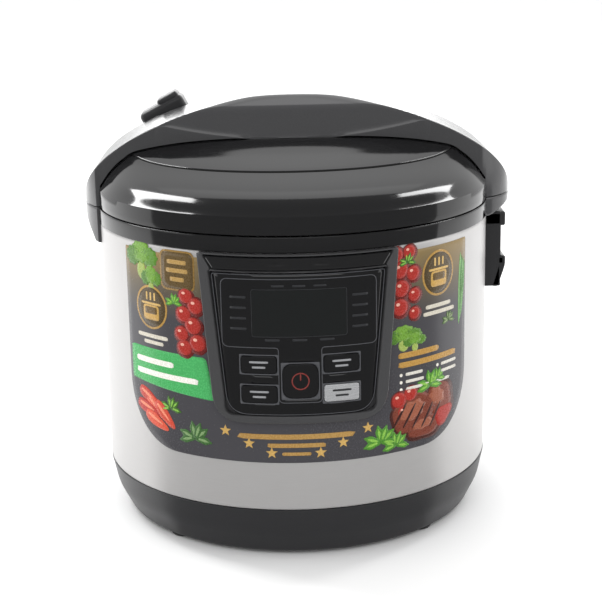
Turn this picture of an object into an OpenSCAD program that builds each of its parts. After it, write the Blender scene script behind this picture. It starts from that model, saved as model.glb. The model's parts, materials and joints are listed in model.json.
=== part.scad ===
// Electric pressure cooker with a rear-hinged lid.
// Millimetres. +Z is up, the control panel faces -Y, the origin is on the table under the centre.

/* [Body] */
// Outside radius of the steel shell
shell_radius = 133; // [126:1:162]
// Height of the seam between the lid and the body above the table
seam_height = 214; // [176:1:260]
// Height of the black base below the steel
base_height = 36; // [30:1:44]
// Height of the black ring between the steel and the seam
rim_height = 10.5; // [8:0.5:14]
// Thickness of the steel shell
shell_wall = 1; // [0.6:0.1:1.5]
// Wall of the moulded plastic pieces
plastic_wall = 2.6; // [2:0.1:3.2]
// Height of the rubber feet under the base
foot_height = 2.5; // [2:0.5:4]

/* [Pot] */
// Inside radius of the cooking pot
pot_radius = 110; // [90:1:112]
// Inside depth of the cooking pot
pot_depth = 138; // [112:1:150]
// Wall of the cooking pot
pot_wall = 1.6; // [1.2:0.1:2.5]
// Width of the flange round the mouth of the pot
pot_flange = 8; // [6:0.5:9]
// Depth of the pot's seat below the seam
seat_drop = 6; // [5:0.5:8]
// Radius of the heating plate
heater_radius = 88; // [72:1:92]
// Thickness of the heating plate
heater_height = 13; // [10:0.5:15]

/* [Lid] */
// Height of the upright skirt of the lid
skirt_height = 12; // [8:0.5:16]
// Height of the lid's crown above the seam, under the grip bridge
crown_height = 45.2; // [42:0.2:55]
// Height of the top of the grip bridge above the seam
bridge_height = 73; // [68:1:88]
// Distance of the bridge's front edge from the axis
bridge_front = 35; // [30:1:42]
// Distance of the bridge's rear edge from the axis
bridge_rear = 38; // [32:1:42]
// How far the left arm of the bridge stands out from the shell
arm_left = 11; // [8:0.5:14]
// How far the right arm of the bridge stands out from the shell
arm_right = 18.5; // [14:0.5:22]

/* [Hinge and latch] */
// Radius of the hinge pin
pin_radius = 2.5; // [2:0.1:3]
// Half the length of the lid's hinge barrel
barrel_half = 21; // [18:1:26]
// Distance of the hinge axis behind the steel shell
hinge_back = 9; // [8.5:0.5:11]
// Height of the hinge axis above the seam
hinge_rise = 3; // [2:0.5:4]
// Travel of the release bar
release_travel = 1; // [0.6:0.1:1.2]

/* [Control panel] */
// Half the width of the panel at its top
panel_half_top = 61; // [56:1:66]
// Half the width of the panel near its bottom
panel_half_bottom = 53; // [48:1:58]
// Distance of the panel's bottom edge below the seam
panel_bottom = 119; // [112:1:126]
// How far the panel frame stands out from the shell
panel_proud = 4; // [3:0.5:5]
// Height of the release bar
bar_height = 9; // [7:0.5:10]
// Width of the four small keys
key_width = 22.5; // [18:0.5:24]
// Height of the four small keys
key_height = 11; // [9:0.5:12]
// Side of the square start key
start_size = 22; // [18:0.5:23]
// Half the angle that the printed label covers
label_angle = 55.6; // [45:0.1:60]

/* [Fits] */
// Gap between pieces that move past each other
part_gap = 0.3; // [0.25:0.05:0.4]
// Radial clearance of a pin in its bore
pin_gap = 0.05; // [0.02:0.01:0.1]
// Gap round a key in the panel window
key_gap = 0.35; // [0.3:0.05:0.5]

/* [Hidden] */
$fn = 96;

seam = seam_height;
rim_radius = shell_radius + 0.6;
rim_inner = shell_radius - shell_wall - 0.2;

// Pot, its seat and the casing round it
pot_outer = pot_radius + pot_wall;
flange_radius = pot_outer + pot_flange;
flange_wall = pot_wall + 0.4;
flange_top = seam - seat_drop + part_gap + flange_wall;
pot_floor = flange_top - pot_depth;
pot_corner = 20;
well_radius = pot_outer + 1.2;
seat_radius = flange_radius + 1.4;
casing_radius = well_radius + 2.4;
casing_wall = 1;
casing_top = seam - seat_drop - plastic_wall;
heater_top = pot_floor - pot_wall - part_gap;
heater_bottom = heater_top - heater_height;
casing_floor = heater_bottom - 6.4;

// Base
base_bottom = foot_height;
lip_height = 3;
plate_bottom = base_bottom + lip_height;
plate_top = plate_bottom + 1.5;
lip_radius = shell_radius - 29;
foot_circle = shell_radius - 20.5;
foot_radius = 8;
foot_turn = 45;

// Hinge
hinge_y = shell_radius + hinge_back;
hinge_z = seam + hinge_rise;
hinge_bore = pin_radius + pin_gap;
barrel_radius = pin_radius + 5;
spring_radius = pin_radius + 2;
spring_space = 8;
ear_inner = barrel_half + 1;
ear_outer = ear_inner + 8;
lid_under = seam + 0.4;

// Inner lid and its sealing ring
inner_lid_radius = pot_radius - 2;
inner_lid_low = seam - 1.6;
ring_low = flange_top + part_gap;

// Lid shape: sides of its rounds, and level ellipses as [half width, half depth, height above the seam]
round_sides = 96;
shoulder = crown_height - skirt_height;
dome_levels = [[shell_radius, shell_radius, skirt_height],
  [shell_radius - 6, shell_radius - 15, skirt_height + 0.289 * shoulder],
  [shell_radius - 13, shell_radius - 48, skirt_height + 0.584 * shoulder],
  [shell_radius - 20, shell_radius - 72, skirt_height + 0.783 * shoulder],
  [shell_radius - 51, shell_radius - 98, crown_height]];

// Grip bridge outline: half of a superellipse on each side, with these powers
flank_power = 1.75;
corner_right = 1.9;
corner_left = 2;
arm_x_right = shell_radius + arm_right;
arm_x_left = shell_radius + arm_left;
pod_radius_right = 41.4;
pod_radius_left = 68;
pod_half = 37;
pod_y = 13;

// Control panel
bezel_radius = shell_radius + panel_proud;
bezel_back = shell_radius - 5;
window_radius = bezel_radius - 1;
window_wall = 2.4;
frame_width = 6.5;
bar_top = rim_height + 0.8;
window_top = bar_top + bar_height + 1.6;
display_half = 27.4;
display_top = 34.5;
display_height = 26;
start_drop = 91;
upper_row = 80.5;
lower_row = 99.7;
key_offset = 25.9;
key_turn = asin(key_offset / bezel_radius);
key_depth = 8;
board_y = bezel_back - 8;
board_half = panel_half_bottom - 12;
label_top = 15;
label_bottom = 146;
label_corner = 45;

// Latch: a lever between the rim ring's skirt and the wall of the pot's seat
hook_y = rim_inner - 5.3;
hook_z = seam - 9;
hook_pin = 1.5;
hook_boss = 2.5;
hook_half = 4;
slot_half = 6.5;
seat_wall = seat_radius + plastic_wall;
ledge_y = hook_y - 2.3;

// Power inlet
inlet_z = base_height + 30;
inlet_face = shell_radius + 4;
inlet_depth = 15;

// Steam valve, on the left flank behind the bridge
valve_x = -(shell_radius - 47);
valve_y = bridge_rear + 24;
valve_z = seam + crown_height - 7;
valve_tilt = -27;

black = "#161618";
soft_black = "#2a2b2e";
steel = "#c9cacc";
alloy = "#a9abad";

// ---------- Shared shapes ----------

// Ring with square edges
module ring(outer, inner, low, high) {
  translate([0, 0, low]) difference() {
    cylinder(r = outer, h = high - low);
    translate([0, 0, -1]) cylinder(r = inner, h = high - low + 2);
  }
}

// Extrusion of an upright outline drawn in X and Z, from the front to the axis
module to_front(depth) {
  rotate([90, 0, 0]) linear_extrude(depth) children();
}

// Rectangle with round corners, centred in X, with its top edge at y = top
module rounded(half, top, bottom, corner) {
  for (side = [-1, 1], level = [top - corner, bottom + corner])
    translate([side * (half - corner), level]) circle(corner, $fn = 32);
  translate([-half, bottom + corner]) square([2 * half, top - bottom - 2 * corner]);
  translate([-half + corner, bottom]) square([2 * half - 2 * corner, top - bottom]);
}

// Screw along +Z with its head underneath
module screw(head, shank, long) {
  cylinder(r = head, h = 1.8, $fn = 32);
  cylinder(r = shank, h = long, $fn = 32);
}

// Straight rod between two points
module rod(from, to, radius) {
  run = to - from;
  flat = norm([run[0], run[1]]);
  translate(from) rotate([0, atan2(flat, run[2]), atan2(run[1], run[0])])
    cylinder(r = radius, h = norm(run), $fn = 24);
}

// Coil drawn as separate closed rings
module coil(radius, wire, turns, long) {
  for (turn = [0:turns - 1])
    translate([0, 0, wire + turn * (long - 2 * wire) / (turns - 1)])
      rotate_extrude($fn = 48) translate([radius, 0]) circle(wire, $fn = 16);
}

// ---------- Body ----------

module outer_shell() {
  color(steel) difference() {
    ring(shell_radius, shell_radius - shell_wall, base_height, seam - rim_height);
    translate([0, 0, seam]) to_front(shell_radius + 5)
      rounded(panel_half_bottom - 6, -rim_height + 1, -panel_bottom + 8, 8);
    translate([-17, 0, inlet_z - 13]) cube([34, shell_radius + 5, 26]);
    for (side = [-1, 1]) translate([side * 20, 0, inlet_z]) rotate([-90, 0, 0])
      cylinder(r = 1.9, h = shell_radius + 5, $fn = 48);
  }
}

module rim_profile() {
  polygon([[well_radius, seam - seat_drop - 8], [well_radius + 2, seam - seat_drop - 8],
    [well_radius + 2, seam - seat_drop - plastic_wall], [seat_wall, seam - seat_drop - plastic_wall],
    [seat_wall, seam - plastic_wall], [rim_inner - 2, seam - plastic_wall],
    [rim_inner - 2, seam - rim_height - 9], [rim_inner, seam - rim_height - 9],
    [rim_inner, seam - rim_height], [rim_radius, seam - rim_height], [rim_radius, seam - 1],
    [rim_radius - 1, seam], [seat_radius + 1, seam], [seat_radius, seam - 1],
    [seat_radius, seam - seat_drop], [well_radius, seam - seat_drop]]);
}

// One hinge ear, seen along X, reaching down over the outside of the ring
module ear_outline() {
  translate([hinge_y, hinge_z]) circle(barrel_radius + 0.5);
  polygon([[rim_radius - 2, seam - rim_height], [rim_radius + 3, seam - rim_height],
    [hinge_y + barrel_radius, hinge_z - 3], [hinge_y + barrel_radius + 0.4, hinge_z],
    [hinge_y - barrel_radius + 0.6, hinge_z], [hinge_y - barrel_radius + 0.6, seam],
    [rim_radius - 2, seam - 1.5]]);
}

module along_x(from, to) {
  translate([from, 0, 0]) rotate([90, 0, 90]) linear_extrude(to - from) children();
}

module rim_ring() {
  color(black) difference() {
    union() {
      rotate_extrude() rim_profile();
      for (side = [0, 1]) mirror([side, 0, 0]) along_x(ear_inner, ear_outer) ear_outline();
      // Rear apron that joins the two ears below the barrel
      intersection() {
        ring(rim_radius + 3, rim_radius - 2, seam - rim_height, seam - 5);
        translate([-ear_outer, 0, 0]) cube([2 * ear_outer, shell_radius * 2, seam * 2]);
      }
    }
    translate([-ear_outer - 1, hinge_y, hinge_z]) rotate([0, 90, 0])
      cylinder(r = hinge_bore, h = 2 * ear_outer + 2, $fn = 48);
    translate([-slot_half, -rim_inner + 2, seam - plastic_wall - 1])
      cube([2 * slot_half, rim_inner - 2 - seat_wall, plastic_wall + 2]);
    // Notch in the skirt for the rib of the release bar
    translate([-8, -rim_inner - 1, seam - rim_height - 12]) cube([16, 4, 10]);
  }
}

// Upright round-sided block of one arm, on the side given as 1 or -1
module pod(arm_x, pod_radius, side, inset) {
  intersection() {
    translate([side * (arm_x - pod_radius), pod_y, 0]) cylinder(r = pod_radius - inset, h = seam + 200);
    translate([side * (shell_radius + 20) - 50 + inset / 2, pod_y - pod_half + inset, 0])
      cube([100 - inset, 2 * (pod_half - inset), seam + 200]);
  }
}

// Lug under an arm, tapering inwards to its foot and fitted to the outside of the rim ring
module side_lug(arm_x, pod_radius, side, drop) {
  difference() {
    intersection() {
      pod(arm_x, pod_radius, side, 0);
      to_front_all() polygon([[side * (shell_radius - 30), seam - drop],
        [side * (shell_radius + 2), seam - drop], [side * (arm_x - 1.5), seam - 0.45 * drop],
        [side * (arm_x + 1), seam], [side * (shell_radius - 30), seam]]);
    }
    translate([0, 0, seam - 100]) cylinder(r = rim_radius, h = 200);
  }
}

// Upright outline in X and Z extruded right through the object
module to_front_all() {
  translate([0, shell_radius * 2, 0]) rotate([90, 0, 0]) linear_extrude(shell_radius * 4) children();
}

module side_lug_left() { color(black) side_lug(arm_x_left, pod_radius_left, -1, 24); }
module side_lug_right() { color(black) side_lug(arm_x_right, pod_radius_right, 1, 12.4); }

// Channel that holds the ladle: a back plate, two cheeks and a lip across the front
module ladle_holder() {
  top = seam - 12.4;
  base_x = shell_radius;
  color(soft_black) translate([0, pod_y - 12, 0]) difference() {
    union() {
      translate([base_x - 8, -11, top - 53]) cube([11, 22, 53]);
      for (side = [-1, 1]) translate([base_x - 8, side * 9.5 - 1.5, top - 53]) cube([19, 3, 53]);
      translate([base_x - 8, -11, top - 10]) cube([22, 22, 10]);
      to_cheek() polygon([[base_x + 10, top - 31], [base_x + 14, top - 33], [base_x + 14, top - 38],
        [base_x + 8, top - 53], [base_x + 5.5, top - 53], [base_x + 10, top - 38]]);
    }
    translate([0, 12 - pod_y, 0]) cylinder(r = rim_radius, h = seam * 2);
  }
}

module to_cheek() {
  translate([0, 11, 0]) rotate([90, 0, 0]) linear_extrude(22) children();
}

module hinge_pin() {
  color(steel) translate([-ear_outer + 0.5, hinge_y, hinge_z]) rotate([0, 90, 0])
    cylinder(r = pin_radius, h = 2 * ear_outer - 1, $fn = 48);
}

module hinge_springs() {
  color(steel) for (side = [0, 1]) mirror([side, 0, 0])
    translate([barrel_half - spring_space + 0.6, hinge_y, hinge_z]) rotate([0, 90, 0])
      coil(spring_radius, 0.8, 4, spring_space - 1);
}

// ---------- Base ----------

module base_ring() {
  outer = shell_radius;
  color(black) difference() {
    union() {
      rotate_extrude() polygon([[lip_radius, base_bottom], [outer - 12, base_bottom],
        [outer - 11.4, base_bottom + 1.2], [outer - 3.2, base_height - 17],
        [outer - 1.6, base_height - 8], [outer - 0.4, base_height - 2], [outer, base_height - 0.6],
        [outer, base_height], [rim_inner, base_height], [rim_inner, base_height + 9],
        [rim_inner - 2, base_height + 9], [rim_inner - 2, base_height - 4],
        [outer - 5.8, base_height - 16], [outer - 13.4, plate_bottom], [lip_radius, plate_bottom]]);
      for (turn = [0:3]) rotate([0, 0, foot_turn + 90 * turn]) translate([shell_radius - 34, 0, plate_top])
        cylinder(r = 4.5, h = 16, $fn = 48);
      for (turn = [0:3]) rotate([0, 0, foot_turn + 90 * turn]) translate([0, 1.5, 0]) rotate([90, 0, 0])
        linear_extrude(3) polygon([[outer - 34, plate_top], [outer - 11.4, plate_top],
          [outer - 7, plate_top + 8], [outer - 34, plate_top + 8]]);
    }
    for (turn = [0:3]) rotate([0, 0, foot_turn + 90 * turn]) {
      translate([foot_circle, 0, base_bottom - 1]) cylinder(r = 3.05, h = lip_height + 2, $fn = 48);
      translate([shell_radius - 34, 0, plate_top - 1]) cylinder(r = 1.6, h = 14, $fn = 48);
    }
  }
}

module bottom_plate() {
  color(alloy) difference() {
    translate([0, 0, plate_bottom]) cylinder(r = foot_circle - 4.5, h = plate_top - plate_bottom);
    for (turn = [0:3]) rotate([0, 0, foot_turn + 90 * turn])
      translate([shell_radius - 34, 0, plate_bottom - 1]) cylinder(r = 1.9, h = 4, $fn = 48);
    for (row = [-2:2], column = [-3:3])
      translate([column * 16 - 1.5, row * 14 - 5, plate_bottom - 1]) cube([3, 10, 4]);
  }
}

module rubber_feet() {
  color("#222222") for (turn = [0:3]) rotate([0, 0, foot_turn + 90 * turn])
    translate([foot_circle, 0, 0]) {
      cylinder(r1 = foot_radius - 1, r2 = foot_radius, h = 1, $fn = 48);
      translate([0, 0, 1]) cylinder(r = foot_radius, h = base_bottom - 1, $fn = 48);
      translate([0, 0, 1]) cylinder(r = 3, h = plate_bottom - 1, $fn = 48);
    }
}

module base_screws() {
  color(steel) for (turn = [0:3]) rotate([0, 0, foot_turn + 90 * turn])
    translate([shell_radius - 34, 0, plate_bottom - 1.8]) screw(3.4, 1.5, 13);
}

// ---------- Front panel ----------

// Shield outline of the panel: a trapezium with round lower corners
module shield(shrink, top) {
  half_top = panel_half_top - shrink;
  half_low = panel_half_bottom - shrink;
  low = -panel_bottom + shrink * 0.8;
  corner = 15 - shrink * 0.6;
  for (side = [-1, 1]) translate([side * (half_low - corner), low + corner]) circle(corner, $fn = 48);
  translate([-half_low + corner, low]) square([2 * (half_low - corner), corner]);
  polygon([[-half_top, -top], [-half_low, low + corner], [half_low, low + corner], [half_top, -top]]);
}

module curved(outer, inner) {
  intersection() {
    ring(outer, inner, seam - 200, seam + 10);
    translate([0, 0, seam]) to_front(outer + 5) children();
  }
}

// Key outline cut square to the panel at its own place round the axis
module key_block(turn, half, drop, tall, corner, outer, inner) {
  rotate([0, 0, turn]) intersection() {
    ring(outer, inner, seam - 200, seam);
    translate([0, 0, seam]) to_front(outer + 5)
      rounded(half, -drop + tall / 2, -drop - tall / 2, corner);
  }
}

module small_key(turn, drop, grow, outer, inner) {
  key_block(turn, key_width / 2 + grow, drop, key_height + 2 * grow, 1.6 + grow, outer, inner);
}

module start_block(grow, outer, inner) {
  key_block(0, start_size / 2 + grow, start_drop, start_size + 2 * grow, 5 + grow, outer, inner);
}

module key_holes(outer, inner) {
  for (turn = [-key_turn, key_turn], drop = [upper_row, lower_row])
    small_key(turn, drop, key_gap, outer, inner);
  start_block(key_gap, outer, inner);
}

module label_outline() {
  low = -label_bottom;
  across = shell_radius * sin(label_angle);
  angle_width = 19;
  right = [for (t = [0:10:90]) [shell_radius * sin(label_angle - angle_width * (1 - cos(t))),
    low + label_corner * (1 - sin(t))]];
  polygon(concat([[-across, -label_top], [across, -label_top]], right,
    [for (i = [len(right) - 1:-1:0]) [-right[i][0], right[i][1]]]));
}

module label_sticker() {
  color("#4a4744") curved(shell_radius + 0.3, shell_radius) difference() {
    label_outline();
    shield(-0.4, rim_height - 5);
  }
}

module control_bezel() {
  color(black) difference() {
    union() {
      curved(bezel_radius, shell_radius) shield(0, bar_top - 0.6);
      curved(shell_radius, bezel_back) intersection() {
        shield(7.5, bar_top);
        rounded(panel_half_bottom - 6.5, -bar_top - bar_height - 0.9, -panel_bottom + 8.5, 7.5);
      }
    }
    curved(bezel_radius + 1, bezel_back - 1) shield(frame_width + 3, window_top + 3);
    curved(bezel_radius + 1, bezel_radius - window_wall - 1.2) shield(frame_width - 0.15, window_top - 0.15);
    // Slot of the release bar
    curved(bezel_radius + 1, bezel_back - 1) bar_outline(part_gap + 0.1);
  }
}

module bar_outline(grow) {
  half = panel_half_top - 4;
  polygon([[-half - grow, -bar_top - 1 + grow], [half + grow, -bar_top - 1 + grow],
    [half - 5 + grow, -bar_top - bar_height - grow], [-half + 5 - grow, -bar_top - bar_height - grow]]);
}

module control_window() {
  color("#0c0c0e") difference() {
    curved(window_radius, window_radius - window_wall) shield(frame_width, window_top);
    key_holes(window_radius + 1, window_radius - window_wall - 1);
  }
}

module display_module() {
  color("#1f2a2a") difference() {
    curved(window_radius - window_wall - 0.4, bezel_back)
      rounded(display_half + 2, -display_top + 2, -display_top - display_height - 2, 1);
    curved(window_radius, window_radius - window_wall - 3)
      rounded(display_half, -display_top, -display_top - display_height, 0.5);
  }
}

module panel_board() {
  color("#1d5b34") translate([-board_half, -board_y - 1.6, seam - 107]) cube([2 * board_half, 1.6, 80]);
}

module key_switches() {
  color("#3a3a3a") for (spot = key_spots())
    translate([spot[0], 0, seam - spot[1]]) rotate([90, 0, 0]) {
      translate([-3, -3, board_y + 1.6]) cube([6, 6, 1.8]);
      translate([0, 0, board_y + 1.6]) cylinder(r = 1.7, h = 2.8, $fn = 32);
    }
}

function key_spots() = [[-key_offset + 2.6, upper_row], [-key_offset + 2.6, lower_row],
  [key_offset - 2.6, upper_row], [key_offset - 2.6, lower_row], [0, start_drop]];

module key_cap(turn, drop, paint = "#101012") {
  color(paint) small_key(turn, drop, 0, window_radius + 0.6, window_radius - key_depth);
}

module menu_key() { key_cap(-key_turn, upper_row); }
module recipe_key() { key_cap(-key_turn, lower_row); }
module delay_key() { key_cap(key_turn, upper_row); }
module time_key() { key_cap(key_turn, lower_row, alloy); }
module start_key() {
  color("#101012") start_block(0, window_radius + 0.6, window_radius - key_depth);
}

// Curved bar along the top of the panel; the rib behind its middle pushes the latch
module release_bar() {
  rib_end = hook_y + 1 + part_gap;
  color(black) {
    curved(bezel_radius + 0.8, shell_radius + release_travel + part_gap) bar_outline(0);
    translate([-6, -bezel_radius, seam - bar_top - bar_height]) cube([12, bezel_radius - rib_end, 5]);
  }
}

// Two plates under the rim ring that carry the latch's pin
module latch_bracket() {
  color(alloy) for (side = [-1, 1]) difference() {
    translate([side * 7 - 1, -hook_y - 2.6, seam - 14]) cube([2, 5.2, 14 - plastic_wall]);
    translate([side * 7 - 2, -hook_y, hook_z]) rotate([0, 90, 0])
      cylinder(r = hook_pin + pin_gap, h = 4, $fn = 48);
  }
}

// Lever that reaches up through the rim ring, with its pin and an inward nose
module latch_hook() {
  top = seam + 6;
  color(steel) {
    translate([-hook_half, -hook_y - 1, seam - 23]) cube([2 * hook_half, 2, 23 + 6]);
    translate([-hook_half, -hook_y, hook_z]) rotate([0, 90, 0])
      cylinder(r = hook_boss, h = 2 * hook_half, $fn = 48);
    translate([-7.8, -hook_y, hook_z]) rotate([0, 90, 0]) cylinder(r = hook_pin, h = 15.6, $fn = 48);
    translate([-hook_half, -hook_y, top - 2.4])
      cube([2 * hook_half, hook_y - ledge_y - part_gap, 2.4]);
  }
}

// ---------- Heating and electrics ----------

module middle_casing() {
  color(alloy) difference() {
    union() {
      ring(casing_radius + casing_wall, casing_radius, casing_floor, casing_top);
      ring(seat_wall - 0.4, casing_radius, casing_top - casing_wall, casing_top);
      translate([0, 0, casing_floor]) cylinder(r = casing_radius + 0.5, h = casing_wall);
    }
    translate([0, 0, casing_floor - 1]) cylinder(r = 20.5, h = casing_wall + 2);
    for (side = [-1, 1]) translate([side * 14, heater_radius - 28, casing_floor - 1])
      cylinder(r = 6, h = casing_wall + 2, $fn = 48);
  }
}

module heating_plate() {
  color("#8d9093") difference() {
    union() {
      translate([0, 0, heater_bottom + 5]) cylinder(r = heater_radius, h = heater_height - 5);
      rotate_extrude() translate([heater_radius - 26, heater_bottom + 6]) circle(6, $fn = 48);
    }
    translate([0, 0, heater_bottom - 1]) cylinder(r = 19, h = heater_height + 2);
  }
}

module element_terminals() {
  color("#dedede") for (side = [-1, 1])
    translate([side * 14, heater_radius - 28, casing_floor - 12])
      cylinder(r = 2.5, h = heater_bottom - casing_floor + 12, $fn = 32);
}

module heater_posts() {
  color(steel) for (turn = [0:2]) rotate([0, 0, 30 + 120 * turn])
    translate([heater_radius - 12, 0, casing_floor + casing_wall])
      cylinder(r = 4, h = heater_bottom + 5 - casing_floor - casing_wall, $fn = 32);
}

module sensor_bracket() {
  color(alloy) {
    ring(24, 8.6, casing_floor - 4, casing_floor - 2.4);
    ring(24, 22.4, casing_floor - 4, casing_floor);
  }
}

module temperature_sensor() {
  color("#b9bbbd") {
    translate([0, 0, heater_top - 4]) cylinder(r = 16, h = 4);
    translate([0, 0, casing_floor - 8]) cylinder(r = 8, h = heater_top - casing_floor + 5);
  }
}

module sensor_spring() {
  color(steel) translate([0, 0, casing_floor - 2.4])
    coil(11.5, 0.8, 6, heater_top - casing_floor - 5.4);
}

module thermal_fuse() {
  color("#e2d9c2") translate([40, 0, casing_floor - 6]) {
    cylinder(r = 7, h = 6, $fn = 48);
    translate([-12, -3, 4.6]) cube([24, 6, 1.4]);
  }
}

module power_board() {
  color("#2c6b3d") difference() {
    union() {
      translate([-42, -78, plate_top + 6]) cube([84, 56, 1.6]);
      for (x = [-36, 36], y = [-72, -28]) translate([x, y, plate_top]) cylinder(r = 3, h = 6, $fn = 32);
      translate([-34, -70, plate_top + 7.6]) cube([20, 16, 13]);
      translate([2, -68, plate_top + 7.6]) cube([16, 12, 11]);
      for (x = [-8, 26]) translate([x, -40, plate_top + 7.6]) cylinder(r = 5, h = 14, $fn = 32);
    }
    translate([0, -50, plate_top + 5]) cylinder(r = 2, h = 4, $fn = 32);
  }
}

// Three-blade appliance inlet in a frame that follows the shell
module power_inlet() {
  color("#1b1b1d") {
    difference() {
      union() {
        difference() {
          translate([-25, shell_radius - 6, inlet_z - 15]) cube([50, inlet_face - shell_radius + 6, 30]);
          translate([0, 0, inlet_z - 20]) cylinder(r = shell_radius, h = 40);
        }
        translate([-15, inlet_face - inlet_depth - 1.6, inlet_z - 11])
          cube([30, inlet_depth, 22]);
      }
      translate([-12.2, inlet_face - inlet_depth, inlet_z - 8.4]) cube([24.4, inlet_depth + 1, 16.8]);
      for (side = [-1, 1]) translate([side * 20, inlet_face - 12, inlet_z]) rotate([-90, 0, 0])
        cylinder(r = 1.7, h = 14, $fn = 48);
    }
    for (blade = [[-7, 0], [7, 0], [0, 3.5]])
      translate([blade[0] - 1, inlet_face - inlet_depth - 1.6, inlet_z + blade[1] - 2.2])
        cube([2, inlet_depth - 2, 4.4]);
  }
}

module inlet_screws() {
  color(steel) for (side = [-1, 1])
    translate([side * 20, inlet_face + 1.8, inlet_z]) rotate([90, 0, 0]) screw(3, 1.5, 12);
}

// Leads from the heater and from the inlet down to the power board
module wiring() {
  low = plate_top + 18;
  lead_y = casing_radius + casing_wall + 2.1;
  color("#a03028") for (side = [-1, 1]) {
    rod([side * 14, heater_radius - 28, low - 1.4], [side * 14, heater_radius - 28, casing_floor - 12], 1.4);
    rod([side * 14, heater_radius - 28, low], [side * 14, -36, low], 1.4);
    rod([side * 6, -30, low], [side * 6, lead_y + 1.4, low], 1.4);
    rod([side * 6, lead_y, low - 1.4], [side * 6, lead_y, inlet_z - 4.6], 1.4);
    rod([side * 6, lead_y, inlet_z - 6], [side * 6, inlet_face - inlet_depth - 1.6, inlet_z - 6], 1.4);
  }
}

// ---------- Pot ----------

module inner_pot() {
  low = pot_floor - pot_wall;
  color("#3b3c3f") rotate_extrude() difference() {
    union() {
      translate([0, low]) square([pot_outer - pot_corner, pot_corner]);
      translate([0, low + pot_corner]) square([pot_outer, flange_top - low - pot_corner]);
      intersection() {
        translate([pot_outer - pot_corner, low + pot_corner]) circle(pot_corner, $fn = 64);
        translate([0, low]) square([pot_outer, pot_corner + 1]);
      }
      translate([0, flange_top - flange_wall]) square([flange_radius, flange_wall]);
    }
    translate([-1, pot_floor]) square([pot_radius - pot_corner + pot_wall + 1, pot_corner]);
    translate([-1, pot_floor + pot_corner - pot_wall]) square([pot_radius + 1, pot_depth]);
    intersection() {
      translate([pot_outer - pot_corner, low + pot_corner]) circle(pot_corner - pot_wall, $fn = 64);
      translate([0, low]) square([pot_outer, pot_corner + 1]);
    }
    translate([-pot_outer, 0]) square([pot_outer, seam * 2]);
  }
}

// ---------- Lid ----------

// Shell of flat facets: a resize to no new size leaves the shape as it is
module one_mesh() {
  resize([0, 0, 0]) children();
}

// Smooth dome through the level ellipses, drawn in by an inset
module dome(inset) {
  translate([0, 0, seam]) hull() {
    for (level = dome_levels)
      translate([0, 0, level[2] - inset - 0.5]) linear_extrude(0.5)
        scale([level[0] - inset, level[1] - inset]) circle(1, $fn = round_sides);
    translate([0, 0, lid_under - seam - (inset == 0 ? 0 : 1)]) linear_extrude(1)
      scale([shell_radius - inset, shell_radius - inset]) circle(1, $fn = round_sides);
  }
}

// Plan of the lens-shaped inlay in front of the bridge
module lens_plan(shrink) {
  intersection() {
    scale([(shell_radius - 20 - shrink), (shell_radius - 48 - shrink)]) circle(1, $fn = round_sides);
    translate([-shell_radius, -shell_radius])
      square([2 * shell_radius, shell_radius - bridge_front - shrink]);
  }
}

module lid_cover() {
  color(black) one_mesh() difference() {
    dome(0);
    dome(plastic_wall);
    difference() {
      translate([0, 0, seam]) linear_extrude(100) lens_plan(0);
      dome(1.2);
    }
    // Way through for the hinge bracket at the back and for the steam valve
    translate([-barrel_half - 1.5, 0, seam]) cube([2 * barrel_half + 3, shell_radius * 2, 9.5]);
    valve_place() translate([0, 0, -40]) cylinder(r = 13.4, h = 60, $fn = 48);
  }
}

module front_inlay() {
  color("#1d1d20") one_mesh() difference() {
    intersection() {
      dome(0);
      translate([0, 0, seam]) linear_extrude(100) lens_plan(0.25);
    }
    dome(1.18);
  }
}

// Half outline of the bridge in X and Z, from the arm's foot to the crown
function half_outline(arm_x, corner, inset) =
  [for (t = [0:6:90]) [(arm_x - inset) * pow(cos(t), 2 / flank_power),
    (bridge_height - inset) * pow(sin(t), 2 / corner)]];

module bridge_front_outline(inset) {
  right = half_outline(arm_x_right, corner_right, inset);
  left = half_outline(arm_x_left, corner_left, inset);
  polygon(concat(right, [for (i = [len(left) - 2:-1:0]) [-left[i][0], left[i][1]]]));
}

// Plan of the bridge: a band with bowed edges between the two pods
module bridge_plan(inset) {
  end = shell_radius - 2;
  front = bridge_front - inset;
  rear = bridge_rear - inset;
  polygon(concat([for (i = [-8:8]) [i / 8 * end, -front + 11 * pow(i / 8, 2)]],
    [for (i = [8:-1:-8]) [i / 8 * end, rear + 10 * pow(i / 8, 2)]]));
}

module bridge_block(inset) {
  foot = inset == 0 ? lid_under - seam : -2;
  translate([0, 0, seam]) intersection() {
    to_front_all() bridge_front_outline(inset);
    along_x(-shell_radius * 2, shell_radius * 2) polygon([[-60, foot], [-60, crown_height - 6],
      [-bridge_front + inset, crown_height], [-bridge_front + 9 + inset, bridge_height - 8.5 - inset],
      [-bridge_front + 24, bridge_height - 1.5 - inset], [2, bridge_height - inset + 0.5],
      [bridge_rear - 20, bridge_height - 1.5 - inset], [bridge_rear - 9 - inset, bridge_height - 10 - inset],
      [bridge_rear - inset, crown_height], [70, crown_height - 6], [70, foot]]);
    union() {
      linear_extrude(200) bridge_plan(inset);
      translate([0, 0, -seam]) pod(arm_x_right, pod_radius_right, 1, inset);
      translate([0, 0, -seam]) pod(arm_x_left, pod_radius_left, -1, inset);
    }
  }
}

module grip_bridge() {
  color(black) one_mesh() difference() {
    bridge_block(0);
    bridge_block(plastic_wall);
    dome(-0.02);
  }
}

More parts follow.
